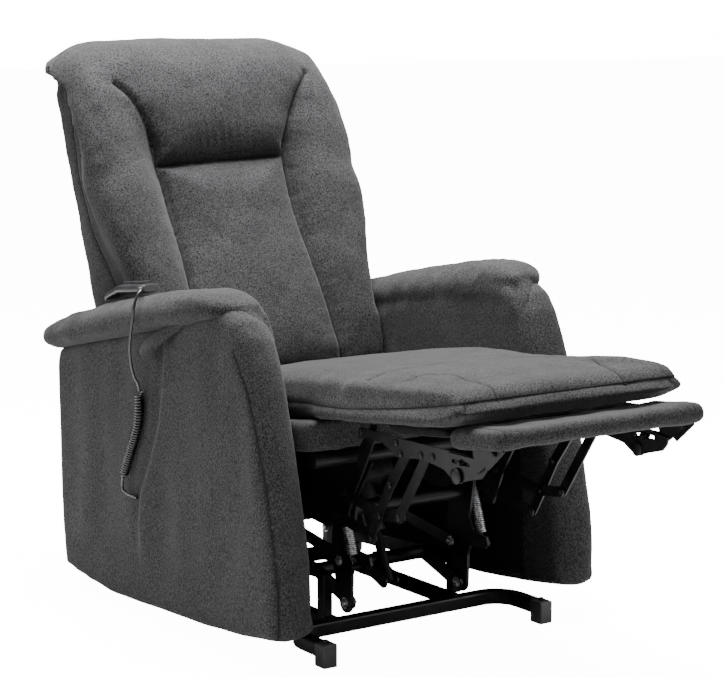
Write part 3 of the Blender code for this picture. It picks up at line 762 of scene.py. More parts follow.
# side bolsters: height, half width across both
BOLSTER_REACH = [(0.58, 0.284), (0.62, 0.287), (0.65, 0.293), (0.70, 0.306), (0.76, 0.321), (0.83, 0.331),
                 (0.87, 0.338), (0.90, 0.338), (0.98, 0.336), (1.027, 0.334), (1.088, 0.330), (1.11, 0.320),
                 (1.14, 0.292)]
BOLSTER_ROOT = 0.17          # the part further out than this is widened
BACK_FOOT = [(0.615, 0.560), (0.594, 0.520), (0.586, 0.480), (0.590, 0.445), (0.620, 0.430), (0.690, 0.430),
             (0.700, 0.560)]         # lower end of the front padding, behind the seat pad
BACK_FOOT_LAYERS = [(-0.281, 0.006), (-0.270, 0), (0.270, 0), (0.281, 0.006)]
BACK_NODES = ("back_frame", "back_cushion", "head_cushion")
# gathered ears at the rear upper corners
EAR = (0.247, 0.998, 1.072)
EAR_RADII = (0.044, 0.056, 0.040)
EAR_GATHER = (0.268, 0.990, 1.086)
EAR_NOTCH = (0.298, 1.012, 1.052)
EAR_PLEAT = 0.019
CHEST_PLEAT = 0.020
SEAM_MIN_DEPTH = 0.012


def drop_ends(obj):
    """Let the ends of the head roll hang back and down."""
    verts = verts_of(obj)
    wide = np.abs(verts[:, 0])
    corner = smoothstep(1.04, 1.13, verts[:, 2]) * smoothstep(0.16, 0.27, wide)
    corner *= 1 - smoothstep(0.94, 1.00, verts[:, 1] - DEPTH_ZERO)
    verts[:, 2] -= 0.006 * corner
    drop = smoothstep(0.205, 0.305, wide) * smoothstep(1.05, 1.12, verts[:, 2])
    set_verts(obj, verts + np.outer(drop, (0, 0.012, -0.019)))


def widen_bolsters(obj):
    """Even out the step under the head cushion, and bring the bolsters to their width."""
    verts = verts_of(obj)
    height = verts[:, 2].copy()
    wide = np.abs(verts[:, 0])
    seam_heights, seam_depths = zip(*sorted((z, y) for _, y, z in BOXING_SEAM))
    ahead = np.interp(height, seam_heights, seam_depths) - (verts[:, 1] - DEPTH_ZERO)
    zone = bell(height, 0.885, 0.050) * smoothstep(0.13, 0.20, wide) * smoothstep(0.03, 0.08, ahead)
    verts = smoothed(obj, verts, 40, weights=zone)
    height, wide = verts[:, 2], np.abs(verts[:, 0])
    levels = np.linspace(0.58, 1.14, 57)
    stretch = []
    for level, reach in zip(levels, np.interp(levels, *zip(*BOLSTER_REACH))):
        near = (np.abs(height - level) < 0.012) & (ahead > 0.05)
        widest = max(wide[near].max() - BOLSTER_ROOT, 0.06) if near.any() else reach - BOLSTER_ROOT
        stretch.append((reach - BOLSTER_ROOT) / widest)
    stretch = np.convolve(np.pad(np.clip(stretch, 0.9, 1.7), 2, mode="edge"), np.ones(5) / 5, mode="valid")
    grow = 1 + (np.interp(height, levels, stretch) - 1) * smoothstep(0.025, 0.115, ahead)
    inner, outer = np.minimum(wide, BOLSTER_ROOT), np.maximum(wide - BOLSTER_ROOT, 0)
    verts[:, 0] = np.sign(verts[:, 0]) * (inner + outer * grow)
    zone = smoothstep(0.62, 0.66, height) * smoothstep(0.20, 0.26, wide) * smoothstep(-0.02, 0.02, ahead)
    set_verts(obj, smoothed(obj, verts, 6, weights=zone))


def draw_in_ears(obj):
    """Pull the ears' tips in, and nick the skin below them."""
    verts = verts_of(obj)
    sides = np.sign(verts[:, 0])
    tip = smoothstep(0.235, 0.30, np.abs(verts[:, 0])) * smoothstep(0.97, 1.03, verts[:, 1] - DEPTH_ZERO)
    tip *= smoothstep(1.035, 1.07, verts[:, 2])
    verts -= np.column_stack((0.011 * sides * tip, 0.006 * tip, 0.010 * tip))
    for side in SIDES.values():
        notch = bell(np.linalg.norm(verts - mirrored([EAR_NOTCH], side)[0], axis=1), 0, 0.020)
        verts -= np.outer(notch, (side * 0.014, 0.016, 0))
    set_verts(obj, verts)


def sink_seams(obj, routes):
    """Draw the front in at the seams, deep beside the bolsters; gives the seams and what is to be held."""
    seams, depths = [], []
    for route in routes:
        points, moved = laid_on(obj, route, FACE_OUT)
        seams.append(points)
        depths.append(np.maximum(moved, SEAM_MIN_DEPTH))
    verts = verts_of(obj)
    facing_out = normals_of(obj) @ FACE_OUT
    height = verts[:, 2].copy()
    samples = np.concatenate(seams)
    flat = verts - np.outer(verts @ FACE_OUT, FACE_OUT)
    flat_samples = samples - np.outer(samples @ FACE_OUT, FACE_OUT)
    distance, index = nearest(flat, flat_samples)
    seam_x = np.interp(height, *zip(*sorted((z + 0.02, x) for x, _, z in SIDE_SEAM)))
    middle = np.abs(verts[:, 0]) < seam_x
    head = middle & (height > HEAD_SEAM_HEIGHT + 0.02)
    floor = np.where(head, 0.30, np.where(middle, 0.50, 0.0))
    reach = np.where(head, 0.020, np.where(middle, 0.026, 0.040))
    power = np.where(middle, 1.0, 1.35)
    shape = floor + (1 - floor) * np.exp(-(distance / reach) ** power)
    start = 0.995 + 0.020 * np.sign(verts[:, 0])
    fade = 1 - smoothstep(start - 0.02, start + 0.070, height) * np.where(middle, 1.0, 0.85)
    fade *= 1 - 0.45 * smoothstep(0.93, 0.99, height)
    facing = smoothstep(0.05, 0.5, facing_out)
    sunk = np.concatenate(depths)[index] * shape * fade * facing
    set_verts(obj, verts - np.outer(sunk, FACE_OUT))
    set_verts(obj, smoothed(obj, verts_of(obj), 2, weights=smoothstep(0.006, 0.03, distance)))
    hold = np.maximum(bell(distance, 0, 0.010) * facing, 1 - smoothstep(-0.35, 0.05, facing_out))
    return seams, hold


def gather_back(obj):
    """Pleats on the ears and at the head cushion's lower edge, and slight unevenness all over."""
    verts = verts_of(obj)
    facing_out = normals_of(obj) @ FACE_OUT
    move = np.zeros(len(verts))
    for side in SIDES.values():
        away = verts - mirrored([EAR_GATHER], side)[0]
        phase = 2 * math.pi * (away[:, 1] - 0.5 * away[:, 2]) / EAR_PLEAT
        pleat = np.sin(phase + 0.8 * np.sin(away[:, 2] * 90))
        close = bell(np.linalg.norm(away, axis=1), 0, 0.046)
        move += 0.0036 * pleat * close
        # painted shade: the pleat troughs are marked in the 'seam' attribute, which the fabric darkens to
        # near black
        mark(obj, "seam", 0.6 * close * smoothstep(0.2, 1.0, -pleat))
    pleat = np.sin(2 * math.pi * verts[:, 0] / CHEST_PLEAT + 1.2 * np.sin(verts[:, 2] * 60))
    chest = bell(verts[:, 0], -0.005, 0.07) * bell(verts[:, 2], 0.955, 0.045)
    move += 0.0017 * chest * pleat * smoothstep(0.2, 0.6, facing_out)
    move += 0.0009 * waves(verts * (1, 1, 1.4), 0.16, 11) + 0.0003 * waves(verts, 0.05, 12)
    pushed(obj, move)


def make_back(paints):
    """Back and head cushion in one cover, with side bolsters and gathered ears."""
    solids = [solid_of(n) for n in BACK_NODES] + [side_stack(BACK_FOOT, BACK_FOOT_LAYERS, 1)]
    for side in SIDES.values():
        solids.append(blob((side * EAR[0], *EAR[1:]), EAR_RADII))
    obj = stuffed("back_upholstery", solids, 0.009, 5)
    drop_ends(obj)
    widen_bolsters(obj)
    draw_in_ears(obj)
    routes = []
    for side in SIDES.values():
        top = SIDE_SEAM[0] if side > 0 else LOWER_SEAM_TOP
        routes.append(curve_through(mirrored([top] + SIDE_SEAM[1:], side), 6))
    seams, hold = sink_seams(obj, routes + [many(HEAD_SEAM)])
    puffed(obj, hold, 4.0, 0.010)
    rows = [(laid_on(obj, seam, FACE_OUT)[0], FACE_OUT) for seam in seams]
    boxing = []
    for side in SIDES.values():
        route = curve_through(mirrored(BOXING_SEAM, side), 6)
        boxing.append((laid_on(obj, route, (side, 0, 0))[0], (side, 0, 0)))
    with_modifier(obj, "SUBSURF", levels=1, render_levels=1)
    sewn(obj, [row for row, _ in rows], 0.007, 0.006, 0.004, 0.028, 0.0007, 3)
    sewn(obj, [row for row, _ in boxing], 0.0022, 0.005, 0.001, 0.02, 0.0004, 4)
    gather_back(obj)
    dress(obj, paints["fabric"], "back", BACK_NODES)
    stitched(obj, rows + boxing, paints["thread"])


# ---- seat and legrest ------------------------------------------------------------------------
PAD_TOP_NEAR = [(-0.160, -0.375), (-0.152, -0.340), (-0.147, -0.306), (-0.151, -0.254), (-0.176, -0.198),
                (-0.210, -0.172)]
PAD_TOP_FAR = [(0.128, -0.375), (0.134, -0.326), (0.160, -0.237), (0.152, -0.160), (0.100, -0.078),
               (0.008, -0.044), (-0.144, -0.061), (-0.236, -0.088)]
PAD_SIDE = [(0.520, 0.440), (0.300, 0.463), (0.099, 0.492), (-0.036, 0.501), (-0.163, 0.519),
            (-0.284, 0.539), (-0.373, 0.557)]
HINGE = (-0.027, 0.449)
PAD_BRIDGE = [(-0.060, 0.482), (0.010, 0.476), (0.010, 0.546), (-0.060, 0.552)]
PAD_BRIDGE_LAYERS = [(-0.255, 0), (0.255, 0)]


def make_chaise(paints):
    """Seat and calf pad, one long cushion that bends at the front of the seat."""
    solids = [solid_of("seat_cushion"), solid_of("calf_pad"), side_stack(PAD_BRIDGE, PAD_BRIDGE_LAYERS, 1)]
    obj = stuffed("chaise_pad", solids, 0.009, 6)
    verts = verts_of(obj)
    depth = verts[:, 1] - DEPTH_ZERO
    rim = np.interp(depth, *zip(*sorted(PAD_SIDE)))
    bulge = bell(verts[:, 2], rim - 0.020, 0.020)
    edge = smoothstep(0.215, 0.25, np.abs(verts[:, 0])) * (1 - smoothstep(0.02, 0.08, depth))
    verts[:, 1] -= 0.024 * bulge * smoothstep(-0.330, -0.375, depth)
    verts[:, 0] += 0.008 * np.sign(verts[:, 0]) * bulge * edge
    set_verts(obj, verts)
    hold = 1 - smoothstep(-0.6, -0.1, normals_of(obj)[:, 2])
    rear = smoothstep(0.42, 0.50, verts_of(obj)[:, 1] - DEPTH_ZERO)
    puffed(obj, np.maximum(hold, rear), 4.0, 0.008)
    top = [laid_on(obj, curve_through(many([(x, y, 0.60) for x, y in line]), 5), (0, 0, 1))[0]
           for line in (PAD_TOP_NEAR, PAD_TOP_FAR)]
    rims = []
    for side in SIDES.values():
        route = mirrored([(0.27, y, z) for y, z in PAD_SIDE], side)
        rims.append(laid_on(obj, curve_through(route, 5), (side, 0, 0))[0])
    front = many([(x, -0.385, 0.557) for x in np.linspace(-0.250, 0.250, 12)])
    rims.append(laid_on(obj, front, (0, -1, 0))[0])
    for side in SIDES.values():
        corner = mirrored([(0.250, -0.40, z) for z in np.linspace(0.522, 0.556, 6)], side)
        rims.append(laid_on(obj, corner, (side * 0.6, -0.8, 0))[0])
    with_modifier(obj, "SUBSURF", levels=1, render_levels=1)
    sewn(obj, top, 0.0025, 0.0045, 0.0022, 0.030, 0.0004, 7)
    sewn(obj, rims, 0.0014, 0.0040, 0.0014, 0.016, 0.0005, 8)
    verts = verts_of(obj)
    pushed(obj, 0.0015 * waves(verts, 0.22, 21) + 0.0004 * waves(verts, 0.07, 22))
    dress(obj, paints["fabric"], None, ("seat_cushion", "calf_pad"))
    sides = [(-1, 0, 0), (1, 0, 0), (0, -1, 0), (-0.6, -0.8, 0), (0.6, -0.8, 0)]
    stitched(obj, [(row, (0, 0, 1)) for row in top] + list(zip(rims, sides)), paints["thread"])
    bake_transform(obj)


def make_seat_box(paints):
    obj = stuffed("seat_box_cover", [solid_of("seat_box")], 0.006, 3)
    pushed(obj, 0.0012 * waves(verts_of(obj), 0.12, 31))
    dress(obj, paints["fabric"], "chassis", ("seat_box",))


def make_legrest_board(paints):
    obj = stuffed("legrest_board_cover", [solid_of("legrest_board")], 0.004, 3)
    dress(obj, paints["lining"], "legrest", ("legrest_board",))


BOARD_REAR = (-0.345, 0.4895)
BOARD_FRONT = (-0.450, 0.5030)
BOARD_HALF = 0.234
BOARD_ROUND = 0.0175
BOARD_SHIFT = (0.004, 0, 0)      # the board sits a little to the sitter's left


def make_footboard(paints):
    """Padded footboard: a thin wrapped board with folded ends."""
    layers = [(-BOARD_HALF, 0.006), (-BOARD_HALF + 0.004, 0.002), (-BOARD_HALF + 0.012, 0.0)]
    layers += [(-x, inset) for x, inset in reversed(layers)]
    start, end = np.array(BOARD_REAR), np.array(BOARD_FRONT)
    ahead = (end - start) / np.linalg.norm(end - start)
    side = np.array((-ahead[1], ahead[0]))
    outline = []
    for centre, first in ((end, -90), (start, 90)):
        for step in range(9):
            turn = math.radians(first + 180 * step / 8)
            outline.append(centre + BOARD_ROUND * (math.cos(turn) * ahead + math.sin(turn) * side))
    obj = stuffed("footboard_cover", [side_stack(outline, layers, 1)], 0.0045, 2)
    set_verts(obj, verts_of(obj) + BOARD_SHIFT)
    rims = []
    for hand in SIDES.values():
        route = mirrored([(BOARD_HALF - 0.020, y, 0.52) for y in np.linspace(-0.468, -0.330, 8)], hand)
        rims.append(laid_on(obj, route, (0, 0, 1))[0])
    sewn(obj, rims, 0.0015, 0.004, 0.0006, 0.015, 0.0005, 9)
    verts = verts_of(obj)
    ends = 0.0022 * smoothstep(0.14, 0.21, np.abs(verts[:, 0]))
    pushed(obj, 0.0010 * waves(verts, 0.10, 41) + ends)
    dress(obj, paints["fabric"], "footboard", ("footboard",))
    stitched(obj, [(row, (0, 0, 1)) for row in rims], paints["thread"])


# ---- arms ------------------------------------------------------------------------------------
PANEL_OUTLINE = [
    (-0.003, 0.066), (-0.010, 0.102), (-0.011, 0.145), (-0.005, 0.216), (0.008, 0.276), (0.025, 0.350),
    (0.046, 0.440), (0.070, 0.520), (0.088, 0.570), (0.110, 0.618), (0.138, 0.652), (0.182, 0.671),
    (0.230, 0.670), (0.319, 0.640), (0.479, 0.600), (0.651, 0.559), (0.800, 0.528), (0.850, 0.514),
    (0.862, 0.480), (0.861, 0.300), (0.857, 0.120), (0.846, 0.041), (0.726, 0.027), (0.636, 0.021),
    (0.465, 0.029), (0.264, 0.039), (0.120, 0.051)]
PANEL_SHARE = [0.5] + [1.0] * 12 + [0.8, 0.6, 0.5, 0.5, 0.3, 0.2, 0.15, 0.15, 0.2, 0.2, 0.2, 0.2, 0.2, 0.3]
PANEL_LAYERS = [(0.2885, 0.034), (0.2900, 0.029), (0.2960, 0.022), (0.3080, 0.014), (0.3220, 0.007),
                (0.3380, 0.001), (0.3500, 0.000), (0.3600, 0.001), (0.3700, 0.005), (0.3785, 0.012),
                (0.3840, 0.022), (0.3865, 0.034)]
# cloth that wraps the inner face and front edge of the arm
WRAP_OUTLINE = [
    (0.164, 0.655), (0.146, 0.618), (0.132, 0.580), (0.121, 0.550), (0.108, 0.510), (0.094, 0.470),
    (0.082, 0.430), (0.076, 0.400), (0.300, 0.385), (0.850, 0.385), (0.850, 0.520), (0.651, 0.565),
    (0.479, 0.605), (0.319, 0.640), (0.230, 0.670)]
WRAP_LAYERS = [(0.2835, 0.012), (0.2850, 0.004), (0.2880, 0.0), (0.2975, 0.0), (0.3010, 0.004),
               (0.3025, 0.010)]
# arm pad, from its rear tip to its nose: depth, underside, top, inner and outer edge
PAD_STATIONS = [
    (0.910, 0.520, 0.536, 0.325, 0.375), (0.902, 0.512, 0.547, 0.305, 0.395),
    (0.886, 0.507, 0.558, 0.290, 0.406), (0.855, 0.508, 0.571, 0.2845, 0.411),
    (0.740, 0.530, 0.603, 0.2840, 0.412), (0.570, 0.566, 0.641, 0.2840, 0.412),
    (0.400, 0.601, 0.673, 0.2840, 0.412), (0.300, 0.622, 0.689, 0.2840, 0.412),
    (0.260, 0.632, 0.694, 0.2840, 0.411), (0.228, 0.639, 0.693, 0.2845, 0.408),
    (0.204, 0.644, 0.688, 0.2870, 0.400), (0.186, 0.646, 0.682, 0.2900, 0.388),
    (0.175, 0.647, 0.677, 0.2950, 0.374), (0.168, 0.649, 0.672, 0.3020, 0.360)]
# roll that goes on from the pad's nose and narrows down the inner front edge: place and radius
LIP = [(0.350, 0.262, 0.658, 0.033), (0.345, 0.225, 0.660, 0.030), (0.338, 0.195, 0.654, 0.027),
       (0.328, 0.172, 0.640, 0.0230), (0.316, 0.155, 0.618, 0.0195), (0.305, 0.142, 0.590, 0.0160),
       (0.297, 0.131, 0.558, 0.0130), (0.292, 0.119, 0.520, 0.0105), (0.2895, 0.105, 0.480, 0.0085)]
FAR_PAD_RISE = 0.010       # the arm without the handset is stuffed a little fuller
# the pad's top line: depths and heights
PAD_TOP = ((0.10, 0.17, 0.25, 0.40, 0.57, 0.74, 0.93), (0.662, 0.696, 0.695, 0.673, 0.641, 0.602, 0.540))
# seam down the panel's front edge
FRONT_SEAM = [(0.372, 0.150, 0.590), (0.373, 0.124, 0.555), (0.374, 0.099, 0.520), (0.374, 0.068, 0.440),
              (0.373, 0.040, 0.350), (0.372, 0.022, 0.270), (0.371, 0.006, 0.180), (0.370, 0.004, 0.110),
              (0.370, 0.006, 0.058)]
# slit in the outer face of the panel on the handset's side
SLIT_LINE = [(0.390, 0.574), (0.412, 0.423), (0.448, 0.337), (0.488, 0.269), (0.503, 0.205), (0.506, 0.121)]
LINING_OUTLINE = [(0.110, 0.075), (0.113, 0.205), (0.121, 0.290), (0.140, 0.382), (0.300, 0.389),
                  (0.845, 0.389), (0.843, 0.060), (0.636, 0.036), (0.465, 0.044), (0.264, 0.060)]


def pad_roll(side):
    """Full, rounded roll along the top of the arm."""
    angles = round_angles(28)
    rings = []
    for depth, under, top, inner, outer in PAD_STATIONS:
        top += max(side, 0) * FAR_PAD_RISE
        across = (inner + outer) / 2 + squared(np.cos(angles), 0.62, (outer - inner) / 2)
        up = (top + under) / 2 + squared(np.sin(angles), 0.80, (top - under) / 2)
        rings.append(mirrored([(x, depth, z) for x, z in zip(across, up)], side))
    return ringed(rings)


def lip_roll(side):
    rise = max(side, 0) * FAR_PAD_RISE
    line = curve_through([(x, y, z + rise * min(1.0, r / 0.03)) for x, y, z, r in LIP], 4)
    radii = spread_over([row[3] for row in LIP], len(line))
    return tube(mirrored(line, side), radii, 20)


def make_arms(paints):
    for name, side in SIDES.items():
        make_panel(paints, name, side)
        make_lining(paints, name, side)
        make_arm_cover(paints, name, side)


def make_panel(paints, name, side):
    board = side_stack(PANEL_OUTLINE, PANEL_LAYERS, side, PANEL_SHARE)
    obj = stuffed(f"arm_panel_{name}", [board], 0.0065, 4)
    verts = verts_of(obj)
    depth = verts[:, 1] - DEPTH_ZERO
    height = verts[:, 2]
    outer = smoothstep(0.2, 0.8, normals_of(obj)[:, 0] * side)
    folds = 0.0018 * np.sin(2 * math.pi * (depth + 0.10 * (height - 0.3)) / 0.24 + 1.0)
    folds += 0.0011 * waves(verts * (1, 1, 0.30), 0.09, 51)
    away = smoothstep(0.03, 0.14, depth) * (1 - smoothstep(0.74, 0.84, depth)) * smoothstep(0.05, 0.2, height)
    move = folds * away * outer + 0.0006 * waves(verts, 0.13, 52)
    if side < 0:
        move += slit_bulge(depth, height) * outer
    pushed(obj, move)
    route = curve_through(mirrored(FRONT_SEAM, side), 5)
    way = (side * 0.6, -0.8, 0.1)
    seam = laid_on(obj, route, way)[0]
    sewn(obj, [seam], 0.0016, 0.004, 0.0008, 0.012, 0.0002, 53)
    dress(obj, paints["fabric"], "chassis", (f"side_panel_{name}",))
    stitched(obj, [(seam, way)], paints["thread"], 0.0004)


def make_lining(paints, name, side):
    """Black lining cloth on the inner face of the side panel, under the seat."""
    outline = []
    for (y0, z0), (y1, z1) in zip(LINING_OUTLINE, LINING_OUTLINE[1:] + LINING_OUTLINE[:1]):
        steps = max(1, int(math.hypot(y1 - y0, z1 - z0) / 0.03))
        outline += [(y0 + (y1 - y0) * i / steps, z0 + (z1 - z0) * i / steps) for i in range(steps)]
    verts, faces = plate(outline, 0.2862, 0.2882)
    verts = verts * (side, 1, 1)
    obj = outward(mesh_object(f"side_lining_{name}", verts, faces, 40))
    set_verts(obj, verts + np.outer(0.0006 * waves(verts, 0.12, 54), (side, 0, 0)))
    dress(obj, paints["lining"], "chassis")


def slit_bulge(depth, height):
    """The panel's front part stands out along the slit, and its rear part lies behind it."""
    heights, depths = zip(*sorted((h, d) for d, h in SLIT_LINE))
    ahead = np.interp(height, heights, depths) - depth
    inside = smoothstep(0.08, 0.25, height) * (1 - smoothstep(0.55, 0.62, height))
    front = 0.0085 * np.exp(-(np.maximum(ahead - 0.012, 0) / 0.09) ** 1.5) * smoothstep(-0.004, 0.014, ahead)
    rear = -0.0035 * bell(ahead, -0.010, 0.012)
    return (front + rear) * inside


FLAP_LINE = [(-0.386, 0.300, 0.634), (-0.394, 0.335, 0.618), (-0.401, 0.375, 0.598), (-0.406, 0.415, 0.577),
             (-0.407, 0.440, 0.5635), (-0.405, 0.450, 0.558)]
FLAP_HALF_WIDTHS = [0.005, 0.010, 0.0160, 0.0225, 0.0225, 0.012]


def make_flap(paints):
    """Tongue of the handset's pocket, which hangs out from under the pad."""
    line = curve_through(FLAP_LINE, 6)
    rings = []
    angles = round_angles(24)
    for point, way, half in zip(line, headings(line), spread_over(FLAP_HALF_WIDTHS, len(line))):
        across = np.cross(way, (-1.0, 0.0, 0.0))
        across = across / np.linalg.norm(across)
        across = across + np.array((-0.42, 0.0, 0.0)) * (1 if across[1] < 0 else -1)
        across /= np.linalg.norm(across)
        out = np.cross(across, way)
        curl = 0.0024 * np.sin(angles) - 0.006 * np.cos(angles) ** 2
        rings.append(many(point + np.outer(np.cos(angles) * half, across) + np.outer(curl, out)))
    obj = outward(mesh_object("pocket_flap", *ringed(rings), 0))
    with_modifier(obj, "SUBSURF", levels=1, render_levels=1)
    mark(obj, "seam", np.zeros(len(obj.data.vertices)))
    dress(obj, paints["fabric"], "chassis")


def make_arm_cover(paints, name, side):
    solids = [pad_roll(side), lip_roll(side), side_stack(WRAP_OUTLINE, WRAP_LAYERS, side)]
    obj = stuffed(f"arm_cover_{name}", solids, 0.006, 4)
    verts = verts_of(obj)
    height = verts[:, 2]
    depth = verts[:, 1] - DEPTH_ZERO
    on_pad = smoothstep(-0.09, -0.045, height - np.interp(depth, *PAD_TOP))
    puffed(obj, np.maximum(1 - on_pad, 1 - smoothstep(-0.5, 0.0, normals_of(obj)[:, 2])), 3.0, 0.006)
    verts = verts_of(obj)
    move = (0.0010 * waves(verts, 0.14, 61) + 0.0005 * waves(verts, 0.05, 62)) * (0.3 + 0.7 * on_pad)
    phase = 2 * math.pi * (depth + 0.6 * (height - 0.68)) / 0.017 + 2 * waves(verts, 0.08, 63)
    move += 0.0011 * bell(depth, 0.315, 0.05) * on_pad * np.sin(phase)
    pushed(obj, move)
    mark(obj, "seam", np.zeros(len(verts)))
    dress(obj, paints["fabric"], "chassis", (f"arm_pad_{name}",))


HEM = 0.014        # from the rear cover's edge to its hem's seam


def make_rear_panel(paints):
    """Thin cloth over the back of the chair, with a hem all round."""
    low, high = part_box("rear_panel")
    columns, rows = 70, 38
    across = np.linspace(low.x, high.x, columns)
    up = np.linspace(low.z, high.z, rows)
    grid = np.array([(x, 0.0, z) for z in up for x in across])
    bulge = 0.0015 * waves(grid, 0.16, 71) + 0.0007 * waves(grid, 0.06, 72)
    sides = (grid[:, 0] - low.x, high.x - grid[:, 0], grid[:, 2] - low.z, high.z - grid[:, 2])
    rim = np.minimum.reduce(sides)
    outer = grid + np.outer(high.y - 0.0025 + bulge - 0.0012 * bell(rim, HEM, 0.0035), (0, 1, 0))
    inner = grid + (0, low.y + 0.001, 0)
    faces = []
    total = len(grid)
    for r in range(rows - 1):
        for c in range(columns - 1):
            a = r * columns + c
            faces.append((a, a + columns, a + columns + 1, a + 1))
            faces.append(tuple(total + i for i in (a, a + 1, a + columns + 1, a + columns)))
    rim_ring = list(range(columns)) + [r * columns + columns - 1 for r in range(1, rows)]
    rim_ring += [(rows - 1) * columns + c for c in range(columns - 2, -1, -1)]
    rim_ring += [r * columns for r in range(rows - 2, 0, -1)]
    for a, b in zip(rim_ring, rim_ring[1:] + rim_ring[:1]):
        faces.append((a, b, total + b, total + a))
    obj = outward(mesh_object("rear_cover", np.concatenate((outer, inner)), faces, 40))
    # painted shade: the hem's groove is marked in the 'seam' attribute, which the fabric darkens to near
    # black
    mark(obj, "seam", np.concatenate((bell(rim, HEM, 0.002), np.zeros(total))))
    dress(obj, paints["fabric"], "chassis", ("rear_panel",))


# ---- handset ---------------------------------------------------------------------------------
HANDSET_LINE = [(0.506, 0.6715), (0.520, 0.6698), (0.550, 0.6664), (0.585, 0.6624), (0.604, 0.6600),
                (0.618, 0.6556), (0.640, 0.6474), (0.662, 0.6388), (0.677, 0.6328)]
HANDSET_HALF_WIDTHS = [0.017, 0.0235, 0.0255, 0.026, 0.026, 0.0255, 0.0245, 0.0225, 0.015]
HANDSET_HALF_HEIGHTS = [0.0070, 0.0092, 0.0098, 0.0098, 0.0096, 0.0090, 0.0084, 0.0076, 0.0055]
HANDSET_X = -0.348
RELIEF_START = (-0.3650, 0.5160, 0.6690)


def make_handset(paints):
    """Slim, slightly bent case with a parting line and a strain relief."""
    line = curve_through([(HANDSET_X, y, z) for y, z in HANDSET_LINE], 6)
    widths = spread_over(HANDSET_HALF_WIDTHS, len(line))
    heights = spread_over(HANDSET_HALF_HEIGHTS, len(line))
    rings = []
    angles = round_angles(32)
    for point, way, half_width, half_height in zip(line, headings(line), widths, heights):
        up = np.cross((1.0, 0.0, 0.0), way)
        flat = np.outer(squared(np.cos(angles), 0.55, half_width), (1.0, 0.0, 0.0))
        rings.append(many(point + flat + np.outer(squared(np.sin(angles), 0.55, half_height), up)))
    hard_piece("handset_shell", [ringed(rings)], paints["grey"], "chassis",
               ("handset_case",), 50)
    rim = [(width + 0.0001, p[1], p[2]) for p, width in zip(line, widths)]
    groove = [(HANDSET_X + x, y, z) for x, y, z in rim] + [(HANDSET_X - x, y, z) for x, y, z in rim[::-1]]
    hard_piece("handset_parting_line", [tube(many(groove), 0.0005, 6)], paints["plastic"],
               "chassis")
    start, exit_point = np.array(RELIEF_START), np.array(LEAD_ROUTE[0])
    relief = spaced([start, exit_point + (exit_point - start) * 0.6], 0.0012)
    radii = 0.0052 - 0.0018 * np.linspace(0, 1, len(relief)) + 0.0005 * (np.arange(len(relief)) % 2)
    hard_piece("handset_strain_relief", [tube(many(relief), radii, 14)], paints["plastic"],
               "chassis")


# ---- steelwork details -----------------------------------------------------------------------
ARM_PIVOT = (0.600, 0.100)
ARM_TIP = (0.124, 0.080)
LINK_PIVOT = (0.586, 0.225)
LINK_TIP = (0.144, 0.161)
UPPER_REAR = (0.062, 0.316)
UPPER_MIDDLE = (-0.064, 0.296)
UPPER_FRONT = (-0.126, 0.304)
LOWER_REAR = (0.0905, 0.269)
LOWER_FRONT = (-0.0355, 0.249)
INNER_TOP = (-0.153, 0.429)
OUTER_TOP = (-0.215, 0.437)
ROLLER = (-0.100, 0.360)
BACK_PIVOT = (0.640, 0.430)
ROD_END = (0.180, 0.090)
ARM_BEND = (0.245, 0.118)         # the lift arms' cross tube
RAIL_SPACER_X = 0.1811


def pin(side, place, inner, outer, radius, head=1.7):
    """Pivot pin along X with a domed head at each end."""
    r = radius * head
    dome = [(0.0032, 0.0), (0.0031, r * 0.45), (0.0024, r * 0.8), (0.0012, r), (0.0, r), (0.0, radius)]
    length = outer - inner
    profile = [(-out, wide) for out, wide in dome] + [(length + out, wide) for out, wide in reversed(dome)]
    return turned(profile, spot(side * inner, *place), (side, 0, 0), 20)


def bolt(side, place, inner, outer, radius):
    """Hex bolt along X, with its nut and washers."""
    start = spot(side * inner, *place)
    length = outer - inner
    shank = [(-0.004, 0.0), (-0.004, radius), (length + 0.006, radius), (length + 0.0065, radius * 0.7),
             (length + 0.0065, 0)]
    washer = [(0, 0), (0, radius * 2.3), (0.0013, radius * 2.3), (0.0013, 0)]
    nut = [(0.0013, 0), (0.0013, radius * 1.72), (0.005, radius * 1.72), (0.0058, radius * 1.4), (0.0058, 0)]
    parts = [turned(shank, start, (side, 0, 0), 16)]
    for base, sign in ((0.0, -1), (length, 1)):
        seat = start + np.array((side * base, 0, 0))
        parts.append(turned(washer, seat, (side * sign, 0, 0), 22))
        parts.append(turned(nut, seat, (side * sign, 0, 0), 6))
    return parts


